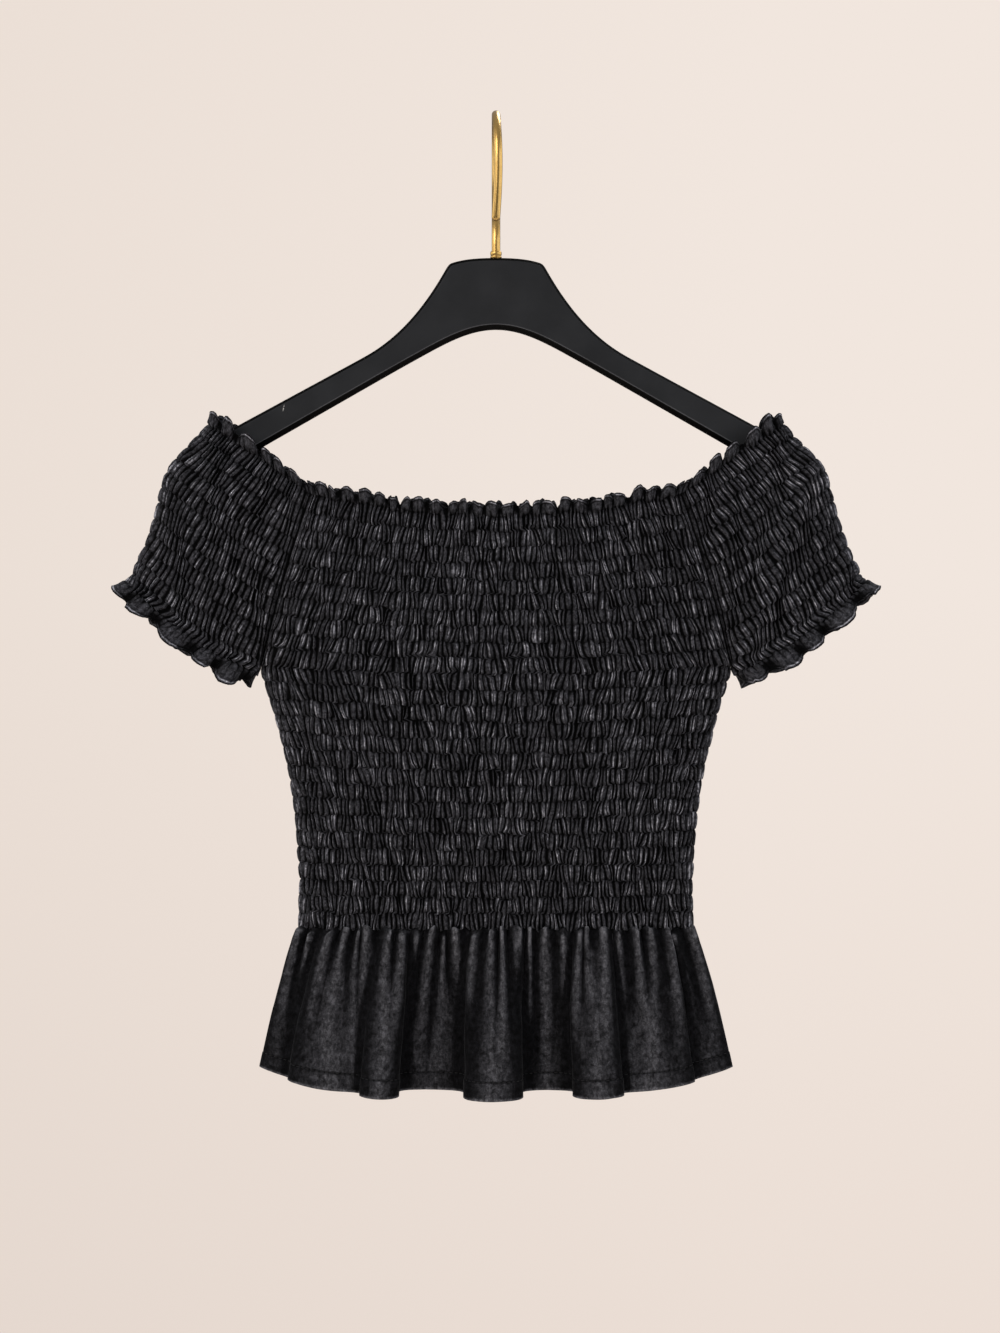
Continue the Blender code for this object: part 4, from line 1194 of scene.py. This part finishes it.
def crushed_velour(name, stops, patch, patchy, crease, creased):
    """Washed black knitted velour: dull pile crushed in patches and in small creases along the
    cloth, coloured by its painted shading: painted shade in valleys and folds, painted highlights and sheen
    where the cloth turns over."""
    made, tree, where = material(name)
    painted_shading = node(tree, "ShaderNodeAttribute", out="Fac", attribute_name="painted_shading")
    laid = node(tree, "ShaderNodeAttribute", out="Vector", attribute_name="laid_flat")
    drawn = node(tree, "ShaderNodeMapping", {"Vector": laid, "Scale": (1, 0.5, 1)})
    noises = []
    for vector, size, detail, roughness, distortion in (
        (where, patch, 5.0, 0.72, 0.6),
        (drawn, crease, 2.0, 0.6, 0.4),
        (where, 1.7 * MM, 2.0, 0.6, 0.0),
        (where, 0.6 * MM, 2.0, 0.6, 0.0),  # real pile is finer, drawn at 0.6 mm to show
        (where, 2.6 * MM, 3.0, 0.6, 0.6),
    ):
        sockets = {"Vector": vector, "Scale": 1 / size, "Detail": detail}
        sockets |= {"Roughness": roughness, "Distortion": distortion}
        noises.append(node(tree, "ShaderNodeTexNoise", sockets))
    crushed, creases, specks, pile, ruffled = noises
    # base colour from the painted shading: painted shade and painted highlights
    base = node(tree, "ShaderNodeValToRGB", {0: painted_shading}, stops=stops)
    for noise, low, high, darkest, lightest in (
        (crushed, 0.34, 0.68, 1 - patchy, 1 + 1.3 * patchy),
        (creases, 0.38, 0.62, 1 - creased, 1 + creased),
        (specks, 0.55, 0.7, 1.0, 1 + 1.1 * creased),
        (pile, 0.3, 0.72, 0.6, 1.5),
    ):
        base = varied(tree, base, noise, low, high, darkest, lightest)
    bump = None
    for height, distance, strength in (
        (ruffled, 0.8 * MM, 0.5),
        (creases, 0.9 * MM, creased),
        (pile, 0.3 * MM, 0.6),
    ):
        sockets = {"Height": height, "Distance": distance, "Strength": strength}
        bump = node(tree, "ShaderNodeBump", sockets | ({"Normal": bump} if bump else {}))
    sockets = {"Base Color": base, "Roughness": 0.9, "Specular IOR Level": 0.05}
    sockets |= {"Sheen Weight": 0.07, "Sheen Roughness": 0.3, "Sheen Tint": colour("#dcdfea")}
    shader = node(tree, "ShaderNodeBsdfPrincipled", sockets | {"Normal": bump})
    node(tree, "ShaderNodeOutputMaterial", {"Surface": shader})
    return made


def polyester_thread():
    """Spun polyester sewing thread: black, a little glossier than the velour."""
    made, tree, where = material("polyester_thread")
    twist = node(tree, "ShaderNodeTexNoise", {"Vector": where, "Scale": 1 / (0.4 * MM)})
    shades = {0: twist, 6: colour("#0b0b0c"), 7: colour("#232325")}
    base = node(tree, "ShaderNodeMix", shades, 2, data_type="RGBA")
    sockets = {"Base Color": base, "Roughness": 0.7, "Specular IOR Level": 0.2}
    shader = node(tree, "ShaderNodeBsdfPrincipled", sockets)
    node(tree, "ShaderNodeOutputMaterial", {"Surface": shader})
    return made


def black_lacquer():
    """Beech sprayed with matt black lacquer: fine orange peel, and a short pale scuff."""
    made, tree, where = material("matt_black_lacquer")
    noises = []
    for size, detail in ((28 * MM, 3.0), (9 * MM, 3.0), (1.1 * MM, 2.0), (0.9 * MM, 2.0)):
        sockets = {"Vector": where, "Scale": 1 / size, "Detail": detail}
        noises.append(node(tree, "ShaderNodeTexNoise", sockets))
    cloudy, hazy, grit, peel = noises
    painted_shading = node(tree, "ShaderNodeAttribute", out="Fac", attribute_name="painted_shading")
    # colour by the painted shading: painted shade on the bevels, a painted highlight line along the lower
    # bevel's edge
    base = node(tree, "ShaderNodeValToRGB", {0: painted_shading}, stops=LACQUER_STOPS)
    base = varied(tree, base, cloudy, 0.3, 0.7, 0.85, 1.1)
    sockets = {"Vector": where, "Location": SCUFF_PLACE, "Rotation": (0, SCUFF_SLANT, 0)}
    scuff = node(tree, "ShaderNodeMapping", sockets | {"Scale": SCUFF_SIZE}, vector_type="TEXTURE")
    far = node(tree, "ShaderNodeVectorMath", {0: scuff}, "Value", operation="LENGTH")
    near = node(tree, "ShaderNodeMapRange", {"Value": far, "From Min": 1.0, "From Max": 0.5})
    worn = node(tree, "ShaderNodeMapRange", {"Value": grit, "From Min": 0.35, "From Max": 0.55})
    shown = node(tree, "ShaderNodeMath", {0: near, 1: worn}, operation="MULTIPLY")
    shades = {0: shown, 6: base, 7: colour("#a9a7a4")}
    base = node(tree, "ShaderNodeMix", shades, 2, data_type="RGBA")
    sockets = {"Value": hazy, "From Min": 0.3, "From Max": 0.7, "To Min": 0.42, "To Max": 0.54}
    rough = node(tree, "ShaderNodeMapRange", sockets)
    bump = node(tree, "ShaderNodeBump", {"Height": peel, "Distance": 0.05 * MM, "Strength": 0.35})
    sockets = {"Base Color": base, "Roughness": rough, "Specular IOR Level": 0.05, "Normal": bump}
    shader = node(tree, "ShaderNodeBsdfPrincipled", sockets)
    node(tree, "ShaderNodeOutputMaterial", {"Surface": shader})
    return made


def polished_brass():
    """Brass-plated steel wire, polished: faint drawing marks and handling haze."""
    made, tree, where = material("polished_brass")
    haze = node(tree, "ShaderNodeTexNoise", {"Vector": where, "Scale": 1 / (11 * MM), "Detail": 3.0})
    marks = node(tree, "ShaderNodeTexNoise", {"Vector": where, "Scale": 1 / (0.8 * MM)})
    shades = {0: haze, 6: colour("#c6a364"), 7: colour("#ad8a4c")}
    base = node(tree, "ShaderNodeMix", shades, 2, data_type="RGBA")
    sockets = {"Value": haze, "From Min": 0.3, "From Max": 0.7, "To Min": 0.28, "To Max": 0.36}
    rough = node(tree, "ShaderNodeMapRange", sockets)
    bump = node(tree, "ShaderNodeBump", {"Height": marks, "Distance": 0.01 * MM, "Strength": 0.2})
    sockets = {"Base Color": base, "Metallic": 1.0, "Roughness": rough, "Normal": bump}
    shader = node(tree, "ShaderNodeBsdfPrincipled", sockets)
    node(tree, "ShaderNodeOutputMaterial", {"Surface": shader})
    return made


def pale_paint():
    """Paint of the studio floor."""
    made, tree, where = material("pale_floor_paint")
    patchy = node(tree, "ShaderNodeTexNoise", {"Vector": where, "Scale": 1 / 0.3})
    shades = {0: patchy, 6: colour("#ece1d8"), 7: colour("#f0e6dd")}
    base = node(tree, "ShaderNodeMix", shades, 2, data_type="RGBA")
    shader = node(tree, "ShaderNodeBsdfPrincipled", {"Base Color": base, "Roughness": 0.9})
    node(tree, "ShaderNodeOutputMaterial", {"Surface": shader})
    return made


# Studio


def camera():
    data = bpy.data.cameras.new("camera")
    made = added("camera", data)
    made.location = CAMERA
    made.rotation_euler = (math.pi / 2, 0, 0)
    data.sensor_fit, data.sensor_width = "AUTO", SENSOR
    data.lens = SENSOR * -CAMERA[1] / PHOTO_HEIGHT
    bpy.context.scene.camera = made


def soft_box(box):
    data = bpy.data.lights.new(box.name, "AREA")
    data.shape, data.size, data.energy = "DISK", box.size, box.power
    data.color = colour(box.tint)[:3]
    made = added(box.name, data)
    made.location = box.place
    made.rotation_euler = (Vector(AIM) - Vector(box.place)).to_track_quat("-Z", "Y").to_euler()


def backdrop():
    """Pale wall for what the camera sees beyond the object, and soft light from all round."""
    world = bpy.data.worlds.new("studio")
    bpy.context.scene.world = world
    world.use_nodes = True
    tree = world.node_tree
    tree.nodes.clear()
    way = node(tree, "ShaderNodeTexCoord", out="Generated")
    shares = []
    for axis, low, high in (("Z", -0.15, 0.02), ("X", -0.12, 0.06), ("Z", -0.5, 0.9)):
        part = node(tree, "ShaderNodeSeparateXYZ", {0: way}, axis)
        sockets = {"Value": part, "From Min": low, "From Max": high}
        shares.append(node(tree, "ShaderNodeMapRange", sockets))
    up, right, overhead = shares
    wall, low_wall, glow = (
        node(tree, "ShaderNodeMix", {0: share, 6: colour(a), 7: colour(b)}, 2, data_type="RGBA")
        for share, a, b in (
            (right, "#ebdfd6", "#f1e6de"),
            (right, "#e5d8cf", "#ebded5"),
            (overhead, "#242120", "#ffffff"),
        )
    )
    wall = node(tree, "ShaderNodeMix", {0: up, 6: low_wall, 7: wall}, 2, data_type="RGBA")
    seen = node(tree, "ShaderNodeBackground", {"Color": wall, "Strength": 1.0})
    soft = node(tree, "ShaderNodeBackground", {"Color": glow, "Strength": 0.5})
    ray = node(tree, "ShaderNodeLightPath", out="Is Camera Ray")
    both = node(tree, "ShaderNodeMixShader", {0: ray, 1: soft, 2: seen})
    node(tree, "ShaderNodeOutputWorld", {"Surface": both})


def floor():
    made = bmesh.new()
    bmesh.ops.create_circle(made, cap_ends=True, segments=96, radius=FLOOR_RADIUS)
    obj = added("floor", mesh_from("floor", made))
    obj.data.materials.append(pale_paint())
    obj.location.z = FLOOR_Z
    obj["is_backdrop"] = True


def numbers(box):
    return [[float(x) for x in corner] for corner in box]


def main():
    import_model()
    cad_box = numbers(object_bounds())
    camera()
    backdrop()
    floor()
    bpy.context.scene.view_settings.view_transform = "Standard"
    for box in SOFT_BOXES:
        soft_box(box)

    shirred_velour = crushed_velour(
        "washed_velour_shirred", SHIRRED_STOPS, 3.5 * MM, 0.12, 1.2 * MM, 0.6
    )
    hanging_velour = crushed_velour(
        "washed_velour_hanging", HANGING_STOPS, 4.5 * MM, 0.7, 2.2 * MM, 0.35
    )
    thread = polyester_thread()
    lacquer, brass = black_lacquer(), polished_brass()
    front = bodice("velour_bodice_front", "bodice_front", -1, 11, shirred_velour)
    back = bodice("velour_bodice_back", "bodice_back", 1, 12, shirred_velour)
    left = sleeve("velour_sleeve_left", "sleeve_left", -1, 21, shirred_velour)
    right = sleeve("velour_sleeve_right", "sleeve_right", 1, 22, shirred_velour)
    front_skirt, line, ways = peplum(
        "velour_peplum_front", "peplum_front", FRONT_FOLDS, -1, 31, hanging_velour
    )
    front_stitches = hem_stitches("hem_stitching_front", line, ways, thread)
    back_skirt, line, ways = peplum(
        "velour_peplum_back", "peplum_back", BACK_FOLDS, 1, 32, hanging_velour
    )
    back_stitches = hem_stitches("hem_stitching_back", line, ways, thread)
    hanger(lacquer)
    hook(brass)
    ferrule(brass)

    seams = [
        seam_allowances("overlocked_seams_left", side_seams(-1), hanging_velour),
        seam_allowances("overlocked_seams_right", side_seams(1), hanging_velour),
    ]
    waist = seam_allowances("overlocked_waist_seam", waist_seam(), hanging_velour)

    return cad_box


box = main()
